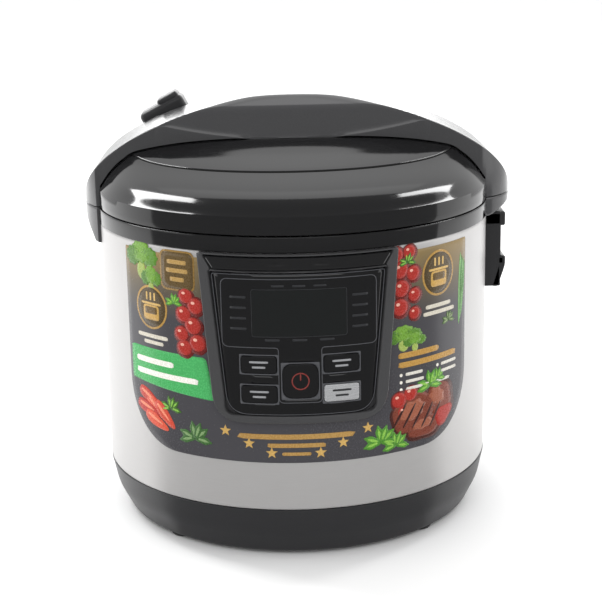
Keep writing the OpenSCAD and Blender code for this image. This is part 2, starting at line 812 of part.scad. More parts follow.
module lid_liner() {
  hole = casing_radius - 24;
  color("#e3e3df") difference() {
    union() {
      ring(shell_radius - plastic_wall - part_gap, hole, lid_under, lid_under + 2.4);
      translate([0, 0, lid_under]) cylinder(r = hole + 1, h = 2.4);
      ring(shell_radius - plastic_wall - part_gap, shell_radius - plastic_wall - part_gap - 2,
        lid_under, lid_under + 8);
    }
    translate([-slot_half, -rim_inner - 4, seam - 1]) cube([2 * slot_half, rim_inner + 4 - ledge_y, 12]);
    translate([-barrel_half - 1.5, shell_radius - 12, lid_under + 2.4])
      cube([2 * barrel_half + 3, 20, 9]);
    translate([0, 0, seam - 1]) cylinder(r = 5.05, h = 6, $fn = 48);
    translate([valve_x + 22, 40, seam - 1]) cylinder(r = 8.2, h = 6, $fn = 48);
    translate([-34, 60, seam - 1]) cylinder(r = 4.4, h = 6, $fn = 48);
    for (side = [-1, 1]) translate([side * 9, shell_radius - 17, seam - 1])
      cylinder(r = 1.6, h = 8, $fn = 48);
  }
}

module hinge_bracket() {
  color(alloy) difference() {
    union() {
      translate([-barrel_half, hinge_y, hinge_z]) rotate([0, 90, 0])
        cylinder(r = barrel_radius, h = 2 * barrel_half, $fn = 64);
      translate([-barrel_half, shell_radius - 22, lid_under + 2.4])
        cube([2 * barrel_half, hinge_back + 22, 3]);
    }
    translate([-barrel_half - 1, hinge_y, hinge_z]) rotate([0, 90, 0])
      cylinder(r = hinge_bore, h = 2 * barrel_half + 2, $fn = 48);
    for (side = [0, 1]) mirror([side, 0, 0]) translate([barrel_half - spring_space, hinge_y, hinge_z])
      rotate([0, 90, 0]) cylinder(r = spring_radius + 1.2, h = spring_space + 1, $fn = 48);
    for (side = [-1, 1]) translate([side * 9, shell_radius - 17, seam]) cylinder(r = 1.6, h = 12, $fn = 48);
  }
}

module lid_screws() {
  color(steel) for (side = [-1, 1])
    translate([side * 9, shell_radius - 17, lid_under + 7.2]) mirror([0, 0, 1]) screw(2.8, 1.5, 6.6);
}

module inner_lid() {
  color("#bfc1c4") difference() {
    translate([0, 0, inner_lid_low]) cylinder(r = inner_lid_radius, h = 1.2);
    translate([0, 0, inner_lid_low - 1]) cylinder(r = 5.2, h = 4, $fn = 48);
    translate([valve_x + 22, 40, inner_lid_low - 1]) cylinder(r = 6.3, h = 4, $fn = 48);
    translate([-34, 60, inner_lid_low - 1]) cylinder(r = 3.4, h = 4, $fn = 48);
  }
}

// Silicone ring gripped on the plate's edge, with a lip over the pot's flange
module sealing_ring() {
  color("#d8d5cc") rotate_extrude() polygon([[inner_lid_radius - 3, inner_lid_low - 1],
    [inner_lid_radius + 2, ring_low], [flange_radius - 2.4, ring_low], [flange_radius - 2, ring_low + 1.4],
    [inner_lid_radius + 4, ring_low + 2], [inner_lid_radius + 3, seam + 0.2],
    [inner_lid_radius - 3, seam + 0.2], [inner_lid_radius - 3, inner_lid_low + 1.2],
    [inner_lid_radius, inner_lid_low + 1.2], [inner_lid_radius, inner_lid_low],
    [inner_lid_radius - 3, inner_lid_low]]);
}

module centre_knob() {
  color("#c24a3a") {
    translate([0, 0, inner_lid_low - 7]) cylinder(r1 = 8, r2 = 9, h = 7, $fn = 64);
    translate([0, 0, inner_lid_low - 1]) cylinder(r = 5, h = 6.4, $fn = 48);
  }
}

// Axis of the tilted valve, square to the lid's flank
module valve_place() {
  translate([valve_x, valve_y, valve_z]) rotate([0, valve_tilt, 0]) children();
}

module steam_pipe() {
  color("#c4c6c8") difference() {
    union() {
      translate([valve_x + 22, 40, inner_lid_low - 3]) cylinder(r = 6, h = 14, $fn = 48);
      rod([valve_x + 22, 40, inner_lid_low + 7], [valve_x + 5, valve_y - 2, valve_z - 12], 4.6);
    }
    translate([valve_x + 22, 40, inner_lid_low - 4]) cylinder(r = 4, h = 6.5, $fn = 48);
  }
}

module valve_gasket() {
  color("#d8d5cc") translate([valve_x + 22, 40, 0]) ring(8, 6.05, lid_under - 0.5, lid_under + 3.4);
}

module valve_seat() {
  color(black) valve_place() difference() {
    union() {
      translate([0, 0, -14]) cylinder(r = 13, h = 18, $fn = 64);
      translate([0, 0, 4]) cylinder(r1 = 13, r2 = 9, h = 3, $fn = 64);
    }
    translate([0, 0, -3]) cylinder(r = 3.5, h = 12, $fn = 48);
    translate([0, 0, -15]) cylinder(r = 11, h = 12, $fn = 48);
  }
}

// Weighted lever cap that turns on the seat
module pressure_valve() {
  color(black) valve_place() {
    translate([0, 0, -2]) cylinder(r = 3.45 - pin_gap, h = 12, $fn = 48);
    translate([0, 0, 7 + part_gap]) cylinder(r = 9, h = 4, $fn = 64);
    translate([0, 0, 9]) linear_extrude(9) rounded_plan(14, 8, 3);
    translate([2, 0, 17]) linear_extrude(4) rounded_plan(9, 7, 3);
  }
}

module rounded_plan(half_x, half_y, corner) {
  for (x = [-1, 1], y = [-1, 1]) translate([x * (half_x - corner), y * (half_y - corner)])
    circle(corner, $fn = 32);
  translate([-half_x, -half_y + corner]) square([2 * half_x, 2 * (half_y - corner)]);
  translate([-half_x + corner, -half_y]) square([2 * (half_x - corner), 2 * half_y]);
}

module float_valve() {
  head = lid_under + 2.4 + part_gap;
  color(steel) translate([-34, 60, 0]) {
    translate([0, 0, inner_lid_low - 5]) cylinder(r = 3, h = head - inner_lid_low + 5.5, $fn = 48);
    translate([0, 0, inner_lid_low - 7]) cylinder(r = 5, h = 2.5, $fn = 48);
    translate([0, 0, head]) cylinder(r = 5.4, h = 2, $fn = 48);
  }
}

module steam_filter() {
  color("#c4c6c8") translate([valve_x + 22, 40, inner_lid_low - 10]) difference() {
    cylinder(r = 9.5, h = 8, $fn = 64);
    translate([0, 0, 1]) cylinder(r = 8.5, h = 8, $fn = 64);
    for (turn = [0:5]) rotate([0, 0, 60 * turn]) translate([5, 0, -1]) cylinder(r = 1.3, h = 4, $fn = 32);
  }
}

outer_shell();
rim_ring();
side_lug_left();
side_lug_right();
ladle_holder();
hinge_pin();
hinge_springs();
base_ring();
bottom_plate();
rubber_feet();
base_screws();
label_sticker();
control_bezel();
control_window();
display_module();
panel_board();
key_switches();
middle_casing();
heating_plate();
element_terminals();
heater_posts();
sensor_bracket();
sensor_spring();
temperature_sensor();
thermal_fuse();
power_board();
power_inlet();
inlet_screws();
wiring();
latch_bracket();
latch_hook();
release_bar();
start_key();
menu_key();
recipe_key();
delay_key();
time_key();
inner_pot();
lid_cover();
front_inlay();
grip_bridge();
lid_liner();
hinge_bracket();
lid_screws();
inner_lid();
sealing_ring();
centre_knob();
steam_pipe();
valve_seat();
valve_gasket();
pressure_valve();
float_valve();
steam_filter();
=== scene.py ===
"""Looks of an electric pressure cooker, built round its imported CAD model.

Every length is in metres in the frame of the CAD model: +Z is up, the control
panel faces -Y and the origin is on the table under the middle of the cooker.
"""

import json
import logging
import math
from dataclasses import dataclass
from enum import Enum
from typing import Callable, Sequence

import bmesh
import bpy
import numpy as np
from mathutils import Matrix, Vector


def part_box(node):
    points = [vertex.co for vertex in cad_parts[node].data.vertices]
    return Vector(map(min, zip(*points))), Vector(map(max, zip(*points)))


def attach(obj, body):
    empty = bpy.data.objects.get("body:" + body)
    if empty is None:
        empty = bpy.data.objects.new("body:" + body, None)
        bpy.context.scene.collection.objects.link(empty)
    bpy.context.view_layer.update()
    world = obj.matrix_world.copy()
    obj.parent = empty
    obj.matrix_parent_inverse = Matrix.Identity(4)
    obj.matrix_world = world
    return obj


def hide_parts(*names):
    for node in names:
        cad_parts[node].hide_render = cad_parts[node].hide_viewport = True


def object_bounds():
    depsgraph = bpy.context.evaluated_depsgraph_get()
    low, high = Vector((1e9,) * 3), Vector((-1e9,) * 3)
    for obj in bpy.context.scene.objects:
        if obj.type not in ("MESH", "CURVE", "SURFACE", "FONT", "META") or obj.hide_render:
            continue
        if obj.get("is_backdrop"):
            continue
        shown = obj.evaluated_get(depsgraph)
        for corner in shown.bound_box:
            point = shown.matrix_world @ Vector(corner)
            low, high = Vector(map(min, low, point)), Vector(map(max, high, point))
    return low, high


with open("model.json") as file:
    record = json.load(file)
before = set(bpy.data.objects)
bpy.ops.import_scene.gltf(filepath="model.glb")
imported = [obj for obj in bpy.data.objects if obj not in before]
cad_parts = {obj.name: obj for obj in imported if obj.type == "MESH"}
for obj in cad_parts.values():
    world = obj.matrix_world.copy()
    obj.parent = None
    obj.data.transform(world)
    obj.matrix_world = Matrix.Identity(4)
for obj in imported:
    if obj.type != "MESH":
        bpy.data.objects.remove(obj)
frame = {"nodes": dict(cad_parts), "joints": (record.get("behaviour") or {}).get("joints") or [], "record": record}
CAD_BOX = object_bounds()

log = logging.getLogger("pressure_cooker")
MM = 0.001
Place = Callable[[np.ndarray, np.ndarray, np.ndarray], np.ndarray]


class Body(Enum):
    """CAD bodies that the new pieces ride on."""

    BASE = "cooker_base"
    LID = "lid"
    VALVE = "valve_cap"
    RELEASE = "release"
    START = "start_button"
    MENU = "menu_button"
    RECIPE = "recipe_button"
    DELAY = "delay_button"
    TIME = "time_button"


# ---------------------------------------------------------------- surfaces


def mesh_from_grid(
    name: str,
    grid: np.ndarray,
    wrap_rows: bool = False,
    wrap_columns: bool = False,
    keep: np.ndarray | None = None,
) -> bpy.types.Object:
    """Turn a grid of points into a mesh of four-sided faces.

    Face (i, j) joins grid points (i, j), (i, j+1), (i+1, j+1) and (i+1, j),
    counted round when a direction wraps.

    Args:
        name: Name of the object and its mesh.
        grid: Points, rows by columns by three, in metres.
        wrap_rows: Join the last row to the first.
        wrap_columns: Join the last column to the first.
        keep: Mask of the faces that are made, or None for all of them.

    Returns:
        The new object, with its doubles merged and its faces turned outwards.
    """
    rows, columns = grid.shape[:2]
    i = np.arange(rows if wrap_rows else rows - 1)
    j = np.arange(columns if wrap_columns else columns - 1)
    i, j = np.meshgrid(i, j, indexing="ij")
    below, right = (i + 1) % rows, (j + 1) % columns
    faces = np.stack(
        [i * columns + j, i * columns + right, below * columns + right, below * columns + j],
        axis=-1,
    )
    if keep is not None:
        faces = faces[keep]
    mesh = bpy.data.meshes.new(name)
    mesh.from_pydata(grid.reshape(-1, 3).tolist(), [], faces.reshape(-1, 4).tolist())
    obj = bpy.data.objects.new(name, mesh)
    bpy.context.scene.collection.objects.link(obj)
    seal(obj)
    return obj


def seal(obj: bpy.types.Object) -> None:
    """Merge an object's doubled points, close its ends' poles and turn its faces outwards."""
    work = bmesh.new()
    work.from_mesh(obj.data)
    bmesh.ops.remove_doubles(work, verts=work.verts, dist=2e-6)
    bmesh.ops.dissolve_degenerate(work, dist=1e-6, edges=work.edges)
    bmesh.ops.recalc_face_normals(work, faces=work.faces)
    work.to_mesh(obj.data)
    work.free()
    obj.data.shade_smooth()


def crisp(obj: bpy.types.Object, degrees: float = 34.0) -> bpy.types.Object:
    """Shade an object smooth except along edges sharper than an angle, and return it."""
    obj.data.set_sharp_from_angle(angle=math.radians(degrees))
    return obj


def resampled(outline: np.ndarray, count: int) -> np.ndarray:
    """Space points evenly along a closed outline.

    Each new point is at an equal share of the outline's length from its start.

    Args:
        outline: Corners of the closed outline, n by 2.
        count: Number of new points.

    Returns:
        The new points, count by 2.
    """
    closed = np.vstack([outline, outline[:1]])
    along = np.concatenate([[0.0], np.cumsum(np.hypot(*np.diff(closed, axis=0).T))])
    at = np.linspace(0.0, along[-1], count, endpoint=False)
    return np.stack([np.interp(at, along, closed[:, k]) for k in (0, 1)], axis=1)


def eased(corners: Sequence[Sequence[float]], radii: Sequence[float], steps: int = 7) -> np.ndarray:
    """Round the corners of a closed outline.

    Each corner becomes a quadratic curve from one radius before it to one
    radius after it, with the corner as the middle control point.

    Args:
        corners: Corners in order, n by 2.
        radii: How far each curve starts from its corner.
        steps: Points in each curve.

    Returns:
        The rounded outline, n times steps by 2.
    """
    point = np.asarray(corners, float)
    before, after = np.roll(point, 1, axis=0) - point, np.roll(point, -1, axis=0) - point
    reach = [np.linalg.norm(v, axis=1) for v in (before, after)]
    cut = np.minimum(np.asarray(radii, float), 0.49 * np.minimum(*reach))[:, None]
    start = point + before / reach[0][:, None] * cut
    end = point + after / reach[1][:, None] * cut
    t = np.linspace(0, 1, steps)[None, :, None]
    curve = (1 - t) ** 2 * start[:, None] + 2 * t * (1 - t) * point[:, None] + t**2 * end[:, None]
    return curve.reshape(-1, 2)


def box_outline(
    half: float, low: float, high: float, corner: float, middle: float = 0.0
) -> np.ndarray:
    """Outline of a rectangle with round corners, from its half width, its foot and its top."""
    corners = [
        (middle - half, low),
        (middle + half, low),
        (middle + half, high),
        (middle - half, high),
    ]
    return eased(corners, [corner * 1.25] * 4, 9)


def offset(outline: np.ndarray, inwards: float) -> np.ndarray:
    """Move a closed anticlockwise outline inwards along its own normals by a distance."""
    tangent = np.roll(outline, -1, axis=0) - np.roll(outline, 1, axis=0)
    normal = np.stack([-tangent[:, 1], tangent[:, 0]], axis=1)
    normal /= np.maximum(np.linalg.norm(normal, axis=1, keepdims=True), 1e-12)
    return outline + normal * inwards


def round_the_shell(radius: float) -> Place:
    """Make the mapping that lays a flat drawing on the front of a cylinder.

    A point across, up and out goes to the angle across / radius round the
    axis, to height up, and to the distance radius + out from the axis.

    Args:
        radius: Radius of the cylinder.

    Returns:
        The mapping.
    """

    def place(across: np.ndarray, up: np.ndarray, out: np.ndarray) -> np.ndarray:
        """Lay points given across, up and out on the cylinder."""
        angle = across / radius
        reach = radius + out
        return np.stack([reach * np.sin(angle), -reach * np.cos(angle), up + 0 * angle], axis=-1)

    return place


def unrolled(outline: np.ndarray, radius: float) -> np.ndarray:
    """Turn an outline drawn straight across into one measured along a cylinder's surface."""
    return np.stack([radius * np.arcsin(outline[:, 0] / radius), outline[:, 1]], axis=1)


def plate(
    name: str,
    levels: Sequence[tuple[np.ndarray, float, float]],
    place: Place,
    ring: bool = False,
    count: int = 160,
    fills: int = 7,
) -> bpy.types.Object:
    """Build a plate or a ring through a stack of outlines.

    Each level is an outline moved inwards and raised. The levels are joined in
    order. A plate's two ends are filled by copies of the end outlines shrunk
    towards their middles; a ring's last level is joined to its first.

    Args:
        name: Name of the object.
        levels: Outline, inwards distance and height of each level.
        place: Mapping from across, up and out to a point.
        ring: Join the last level to the first and leave the middle open.
        count: Points round each outline.
        fills: Shrunk copies that fill each end.

    Returns:
        The plate.
    """
    rows = [
        (offset(resampled(outline, count), inwards), height) for outline, inwards, height in levels
    ]
    if not ring:
        shares = np.linspace(0, 1, fills + 1)
        rows = (
            [shrunk(rows[0][0], s) + (rows[0][1],) for s in shares[:-1]]
            + [(flat, height) for flat, height in rows]
            + [shrunk(rows[-1][0], s) + (rows[-1][1],) for s in shares[-2::-1]]
        )
    flat = np.stack([row[0] for row in rows])
    height = np.array([row[-1] for row in rows])[:, None] * np.ones(count)
    grid = place(flat[..., 0], flat[..., 1], height)
    return mesh_from_grid(name, grid, wrap_rows=ring, wrap_columns=True)


def shrunk(flat: np.ndarray, share: float) -> tuple[np.ndarray]:
    """Shrink an outline towards its middle to a share of its size."""
    middle = flat.mean(axis=0)
    return (middle + (flat - middle) * share,)


def turned(name: str, profile: np.ndarray, count: int = 192) -> bpy.types.Object:
    """Turn a closed profile of radii and heights all the way round the upright axis.

    Point (k, j) is profile point j carried to the angle of step k.

    Args:
        name: Name of the object.
        profile: Radius and height of each point, n by 2.
        count: Steps in the turn.

    Returns:
        The turned ring.
    """
    angle = np.linspace(0, 2 * np.pi, count, endpoint=False)[:, None]
    radius, height = profile[None, :, 0], profile[None, :, 1]
    grid = np.stack(
        [radius * np.cos(angle), radius * np.sin(angle), height + 0 * angle], axis=-1
    )
    return mesh_from_grid(name, grid, wrap_rows=True, wrap_columns=True)


def soft_box(
    name: str, middle: Sequence[float], half: Sequence[float], radius: float, steps: int = 6
) -> bpy.types.Object:
    """Build a box with rounded edges.

    A point is the nearest corner of a smaller box plus the rounding radius
    along the direction given by two angles, with each quarter turn's end
    repeated so that the flat sides stay flat.

    Args:
        name: Name of the object.
        middle: Centre of the box.
        half: Half of each side.
        radius: Radius of the edges.
        steps: Points in each quarter turn.

    Returns:
        The box.
    """
    quarter = np.linspace(0, np.pi / 2, steps)
    round_angle = np.concatenate([quarter + k * np.pi / 2 for k in range(4)])
    sign_x = np.repeat([1, -1, -1, 1], steps)
    sign_y = np.repeat([1, 1, -1, -1], steps)
    rise = np.concatenate([quarter - np.pi / 2, quarter])
    sign_z = np.repeat([-1, 1], steps)
    a, b = np.meshgrid(rise, round_angle, indexing="ij")
    direction = np.stack([np.cos(a) * np.cos(b), np.cos(a) * np.sin(b), np.sin(a)], axis=-1)
    sign = np.stack(
        [
            np.broadcast_to(sign_x, a.shape),
            np.broadcast_to(sign_y, a.shape),
            np.broadcast_to(sign_z[:, None], a.shape),
        ],
        axis=-1,
    )
    grid = np.asarray(middle) + sign * (np.asarray(half) - radius) + direction * radius
    cap = [grid[:1] * 0 + grid[k].mean(axis=0) for k in (0, -1)]
    return crisp(mesh_from_grid(name, np.concatenate([cap[0], grid, cap[1]]), wrap_columns=True), 50)


def joined(name: str, pieces: Sequence[bpy.types.Object]) -> bpy.types.Object:
    """Join several meshes into one object with a new name."""
    with bpy.context.temp_override(
        active_object=pieces[0], selected_editable_objects=list(pieces), object=pieces[0]
    ):
        bpy.ops.object.join()
    pieces[0].name = name
    pieces[0].data.name = name
    return pieces[0]


def painted(obj: bpy.types.Object, colour: Sequence[float]) -> bpy.types.Object:
    """Store one print colour on every corner of a mesh, for the label's ink, and return it."""
    layer = obj.data.color_attributes.new("ink", "FLOAT_COLOR", "CORNER")
    values = np.tile([*colour, 1.0], len(obj.data.loops)).astype(np.float32)
    layer.data.foreach_set("color", values)
    return obj


def moved(obj: bpy.types.Object, matrix: Matrix) -> bpy.types.Object:
    """Apply a placing matrix to a mesh itself, so the object stays at the origin."""
    obj.data.transform(matrix)
    return obj


def linear(code: str) -> tuple[float, float, float]:
    """Turn a colour code of six hexadecimal digits into linear red, green and blue."""
    share = np.array([int(code[k : k + 2], 16) / 255 for k in (0, 2, 4)])
    value = np.where(share <= 0.04045, share / 12.92, ((share + 0.055) / 1.055) ** 2.4)
    return tuple(float(v) for v in value)


# ---------------------------------------------------------------- finishes


class Pattern(Enum):
    """Fine pattern that a finish carries in its colour, gloss and relief."""

    MOULDED = "moulded plastic"
    BRUSHED = "brushed round the axis"
    CAST = "cast or pressed metal"


def mottle_group() -> bpy.types.NodeTree:
    """Build the shared mottle: two scales of noise mixed into one mask and one height.

    Returns:
        Node group with inputs Scale and Stretch and outputs Mask and Height.
    """
    group = bpy.data.node_groups.new("fine_mottle", "ShaderNodeTree")
    group.interface.new_socket("Scale", in_out="INPUT", socket_type="NodeSocketFloat")
    group.interface.new_socket("Stretch", in_out="INPUT", socket_type="NodeSocketVector")
    group.interface.new_socket("Mask", in_out="OUTPUT", socket_type="NodeSocketFloat")
    group.interface.new_socket("Height", in_out="OUTPUT", socket_type="NodeSocketFloat")
    nodes, links = group.nodes, group.links
    given, out = nodes.new("NodeGroupInput"), nodes.new("NodeGroupOutput")
    place, stretch = nodes.new("ShaderNodeTexCoord"), nodes.new("ShaderNodeVectorMath")
    stretch.operation = "MULTIPLY"
    links.new(place.outputs["Object"], stretch.inputs[0])
    links.new(given.outputs["Stretch"], stretch.inputs[1])
    fine, broad = nodes.new("ShaderNodeTexNoise"), nodes.new("ShaderNodeTexNoise")
    fine.inputs["Detail"].default_value = 4.0
    broad.inputs["Scale"].default_value = 9.0
    broad.inputs["Detail"].default_value = 3.0
    links.new(stretch.outputs[0], fine.inputs["Vector"])
    links.new(given.outputs["Scale"], fine.inputs["Scale"])
    links.new(place.outputs["Object"], broad.inputs["Vector"])
    mix = nodes.new("ShaderNodeMix")
    mix.data_type = "FLOAT"
    mix.inputs["Factor"].default_value = 0.4
    links.new(fine.outputs["Fac"], mix.inputs["A"])
    links.new(broad.outputs["Fac"], mix.inputs["B"])
    links.new(mix.outputs["Result"], out.inputs["Mask"])
    links.new(fine.outputs["Fac"], out.inputs["Height"])
    return group


def tinted(
    nodes: bpy.types.Nodes, links: bpy.types.NodeLinks, mask: bpy.types.NodeSocket,
    first: Sequence[float], second: Sequence[float],
) -> bpy.types.NodeSocket:
    """Mix two colours by a mask.

    Args:
        nodes: Nodes of the material.
        links: Links of the material.
        mask: Socket that says how much of the second colour shows.
        first: Linear colour where the mask is low.
        second: Linear colour where the mask is high.

    Returns:
        The socket of the mixed colour.
    """
    ramp = nodes.new("ShaderNodeValToRGB")
    ramp.color_ramp.elements[0].position = 0.3
    ramp.color_ramp.elements[1].position = 0.7
    ramp.color_ramp.elements[0].color = (*first, 1)
    ramp.color_ramp.elements[1].color = (*second, 1)
    links.new(mask, ramp.inputs["Fac"])
    return ramp.outputs["Color"]


@dataclass(frozen=True)
class Finish:
    """One surface finish, made into a material from noise on the object's own coordinates."""

    name: str
    colour: tuple[float, float, float]
    gloss: tuple[float, float]
    metal: float = 0.0
    pattern: Pattern = Pattern.MOULDED
    scale: float = 900.0
    relief: float = 0.02
    variation: float = 0.12
    specular: float = 0.5

    def stretch(self) -> tuple[float, float, float]:
        """Stretch of the pattern along X, Y and Z."""
        return (0.03, 0.03, 1.0) if self.pattern is Pattern.BRUSHED else (1.0, 1.0, 1.0)

    def material(self, mottle: bpy.types.NodeTree) -> bpy.types.Material:
        """Build the material.

        Args:
            mottle: The shared mottle group.

        Returns:
            The material, whose colour, roughness and relief vary over the surface.
        """
        material = bpy.data.materials.new(self.name)
        material.use_nodes = True
        nodes, links = material.node_tree.nodes, material.node_tree.links
        shader = nodes["Principled BSDF"]
        shader.inputs["Metallic"].default_value = self.metal
        shader.inputs["Specular IOR Level"].default_value = self.specular
        grain = nodes.new("ShaderNodeGroup")
        grain.node_tree = mottle
        grain.inputs["Scale"].default_value = self.scale
        grain.inputs["Stretch"].default_value = self.stretch()
        rough = nodes.new("ShaderNodeMapRange")
        rough.inputs["From Min"].default_value = 0.3
        rough.inputs["From Max"].default_value = 0.7
        rough.inputs["To Min"].default_value, rough.inputs["To Max"].default_value = self.gloss
        links.new(grain.outputs["Mask"], rough.inputs["Value"])
        links.new(rough.outputs["Result"], shader.inputs["Roughness"])
        links.new(self.colour_socket(nodes, links, grain), shader.inputs["Base Color"])
        bump = nodes.new("ShaderNodeBump")
        bump.inputs["Strength"].default_value = self.relief
        bump.inputs["Distance"].default_value = 0.0004
        links.new(grain.outputs["Height"], bump.inputs["Height"])
        links.new(bump.outputs["Normal"], shader.inputs["Normal"])
        return material

    def colour_socket(
        self, nodes: bpy.types.Nodes, links: bpy.types.NodeLinks, grain: bpy.types.Node
    ) -> bpy.types.NodeSocket:
        """Socket of the base colour, which the mottle darkens a little."""
        darker = tuple(c * (1 - self.variation) for c in self.colour)
        return tinted(nodes, links, grain.outputs["Mask"], darker, self.colour)


@dataclass(frozen=True)
class InkFinish(Finish):
    """Printed ink whose colour is stored on the print itself, with a fine screen over it."""

    def colour_socket(
        self, nodes: bpy.types.Nodes, links: bpy.types.NodeLinks, grain: bpy.types.Node
    ) -> bpy.types.NodeSocket:
        """Socket of the stored ink colour, times the mottle's tint."""
        ink, mix = nodes.new("ShaderNodeVertexColor"), nodes.new("ShaderNodeMix")
        ink.layer_name = "ink"
        mix.data_type, mix.blend_type = "RGBA", "MULTIPLY"
        mix.inputs["Factor"].default_value = 1.0
        tint = tinted(nodes, links, grain.outputs["Mask"], (0.7, 0.66, 0.6), (1.0, 1.0, 1.0))
        links.new(ink.outputs["Color"], mix.inputs["A"])
        links.new(tint, mix.inputs["B"])
        return mix.outputs["Result"]


@dataclass(frozen=True)
class LabelGroundFinish(Finish):
    """Label film whose colour runs from bronze at its top to dark grey lower down."""

    top: float = 0.2
    fade: float = 0.06

    def colour_socket(
        self, nodes: bpy.types.Nodes, links: bpy.types.NodeLinks, grain: bpy.types.Node
    ) -> bpy.types.NodeSocket:
        """Socket of a colour that follows height, with a cloudy edge from noise of its own."""
        place, split = nodes.new("ShaderNodeTexCoord"), nodes.new("ShaderNodeSeparateXYZ")
        height, ramp = nodes.new("ShaderNodeMapRange"), nodes.new("ShaderNodeValToRGB")
        cloud, add = nodes.new("ShaderNodeTexNoise"), nodes.new("ShaderNodeMath")
        links.new(place.outputs["Object"], split.inputs[0])
        links.new(split.outputs["Z"], height.inputs["Value"])
        height.inputs["From Min"].default_value = self.top
        height.inputs["From Max"].default_value = self.top - self.fade
        cloud.inputs["Scale"].default_value = 22.0
        links.new(place.outputs["Object"], cloud.inputs["Vector"])
        add.operation = "MULTIPLY_ADD"
        add.inputs[1].default_value = 0.5
        links.new(cloud.outputs["Fac"], add.inputs[0])
        links.new(height.outputs["Result"], add.inputs[2])
        links.new(add.outputs[0], ramp.inputs["Fac"])
        stops = ramp.color_ramp.elements
        stops[0].position, stops[0].color = 0.2, (*linear("8a7344"), 1)
        stops[1].position, stops[1].color = 1.0, (*linear("3f3e42"), 1)
        between = stops.new(0.62)
        between.color = (*linear("5d5340"), 1)
        return ramp.outputs["Color"]


FINISHES = {
    "black_gloss": Finish("black_gloss", (0.007, 0.007, 0.0075), (0.06, 0.12), relief=0.01),
    # Grey copy of the black gloss: its lighter base colour paints in the sheen of the grip, the side lugs and the
    # panel frame.
    "painted_sheen_gloss": Finish("painted_sheen_gloss", (0.05, 0.05, 0.052), (0.12, 0.2), relief=0.02),
    "black_satin": Finish("black_satin", (0.022, 0.022, 0.024), (0.34, 0.46), relief=0.12, scale=1400),
    "brushed_steel": Finish(
        "brushed_steel", (0.53, 0.521, 0.515), (0.3, 0.42), 0.5, Pattern.BRUSHED, 2600, 0.08, 0.07
    ),
    "bright_steel": Finish(
        "bright_steel", (0.7, 0.71, 0.72), (0.12, 0.24), 1.0, Pattern.CAST, 700, 0.04, 0.06
    ),
    "aluminium": Finish(
        "aluminium", (0.6, 0.61, 0.62), (0.3, 0.44), 1.0, Pattern.BRUSHED, 1500, 0.08, 0.08
    ),
    "cast_alloy": Finish(
        "cast_alloy", (0.48, 0.49, 0.5), (0.4, 0.55), 1.0, Pattern.CAST, 500, 0.3, 0.12
    ),
    "pot_coating": Finish(
        "pot_coating", (0.05, 0.05, 0.055), (0.26, 0.4), pattern=Pattern.CAST, scale=1500,
        relief=0.18, variation=0.3,
    ),
    "label_print": LabelGroundFinish("label_print", linear("48474b"), (0.2, 0.3), relief=0.02),
    "panel_gloss": Finish("panel_gloss", (0.004, 0.004, 0.0045), (0.04, 0.08), relief=0.006),
    "display_dark": Finish("display_dark", (0.005, 0.006, 0.006), (0.06, 0.1), relief=0.006),
    "board_green": Finish("board_green", (0.03, 0.16, 0.07), (0.3, 0.45), relief=0.1, variation=0.3),
    "silicone": Finish("silicone", (0.62, 0.6, 0.55), (0.42, 0.55), relief=0.1),
    "red_silicone": Finish("red_silicone", (0.42, 0.08, 0.05), (0.4, 0.52), relief=0.1),
    "black_rubber": Finish("black_rubber", (0.02, 0.02, 0.02), (0.6, 0.75), relief=0.3),
    "white_plastic": Finish("white_plastic", (0.66, 0.66, 0.63), (0.35, 0.48), relief=0.15),
    "ceramic": Finish("ceramic", (0.68, 0.63, 0.54), (0.4, 0.5), relief=0.2),
    "wire_red": Finish("wire_red", (0.4, 0.05, 0.04), (0.4, 0.5), relief=0.06),
    # Near-black matte that paints shadow, on the strip round the lens and on the foot under the grip.
    "joint_shadow": Finish("joint_shadow", (0.004, 0.004, 0.004), (0.7, 0.85), relief=0.1, specular=0.1),
    "grey_print": Finish("grey_print", linear("4b4c50"), (0.3, 0.4), relief=0.02),
    "dim_print": Finish("dim_print", linear("2a2b2e"), (0.3, 0.4), relief=0.02),
    "dark_print": Finish("dark_print", linear("2a2b2e"), (0.3, 0.4), relief=0.02),
    "pale_print": Finish("pale_print", linear("8e8f92"), (0.3, 0.4), relief=0.02),
    "red_print": Finish("red_print", linear("7c2a24"), (0.3, 0.4), relief=0.02),
    "silver_key": Finish(
        "silver_key", linear("c9cacc"), (0.2, 0.3), 0.6, Pattern.BRUSHED, 1800, 0.05, 0.05
    ),
    "label_ink": InkFinish("label_ink", (1, 1, 1), (0.22, 0.32), relief=0.01, scale=1100),
}


class Wardrobe:
    """Materials made once from the finishes, and the ways to put them on pieces."""

    def __init__(self) -> None:
        """Build the shared mottle group."""
        self.mottle = mottle_group()
        self.made: dict[str, bpy.types.Material] = {}

    def material(self, finish: str) -> bpy.types.Material:
        """Material of a finish by name, made at its first use."""
        if finish not in self.made:
            self.made[finish] = FINISHES[finish].material(self.mottle)
        return self.made[finish]

    def dress(
        self, obj: bpy.types.Object, finish: str, body: Body, slot: str | None = None
    ) -> bpy.types.Object:
        """Give a piece its finish and let it ride on its body.

        Args:
            obj: The piece.
            finish: Name of its finish.
            body: Body that it moves with.
            slot: The record's material slot, where the finish has another name; not used.

        Returns:
            The piece.
        """
        obj.data.materials.clear()
        obj.data.materials.append(self.material(finish))
        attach(obj, body.value)
        slot or finish
        log.info("%s: %d faces, %s", obj.name, len(obj.data.polygons), finish)
        return obj

    def dress_cad(self) -> None:
        """Give every CAD node the finish of its own material slot."""
        for part in frame["record"]["subparts"]:
            node = frame["nodes"][part["node"]]
            node.data.materials.clear()
            node.data.materials.append(self.material(part["material_slot"]))


# ---------------------------------------------------------------- sizes


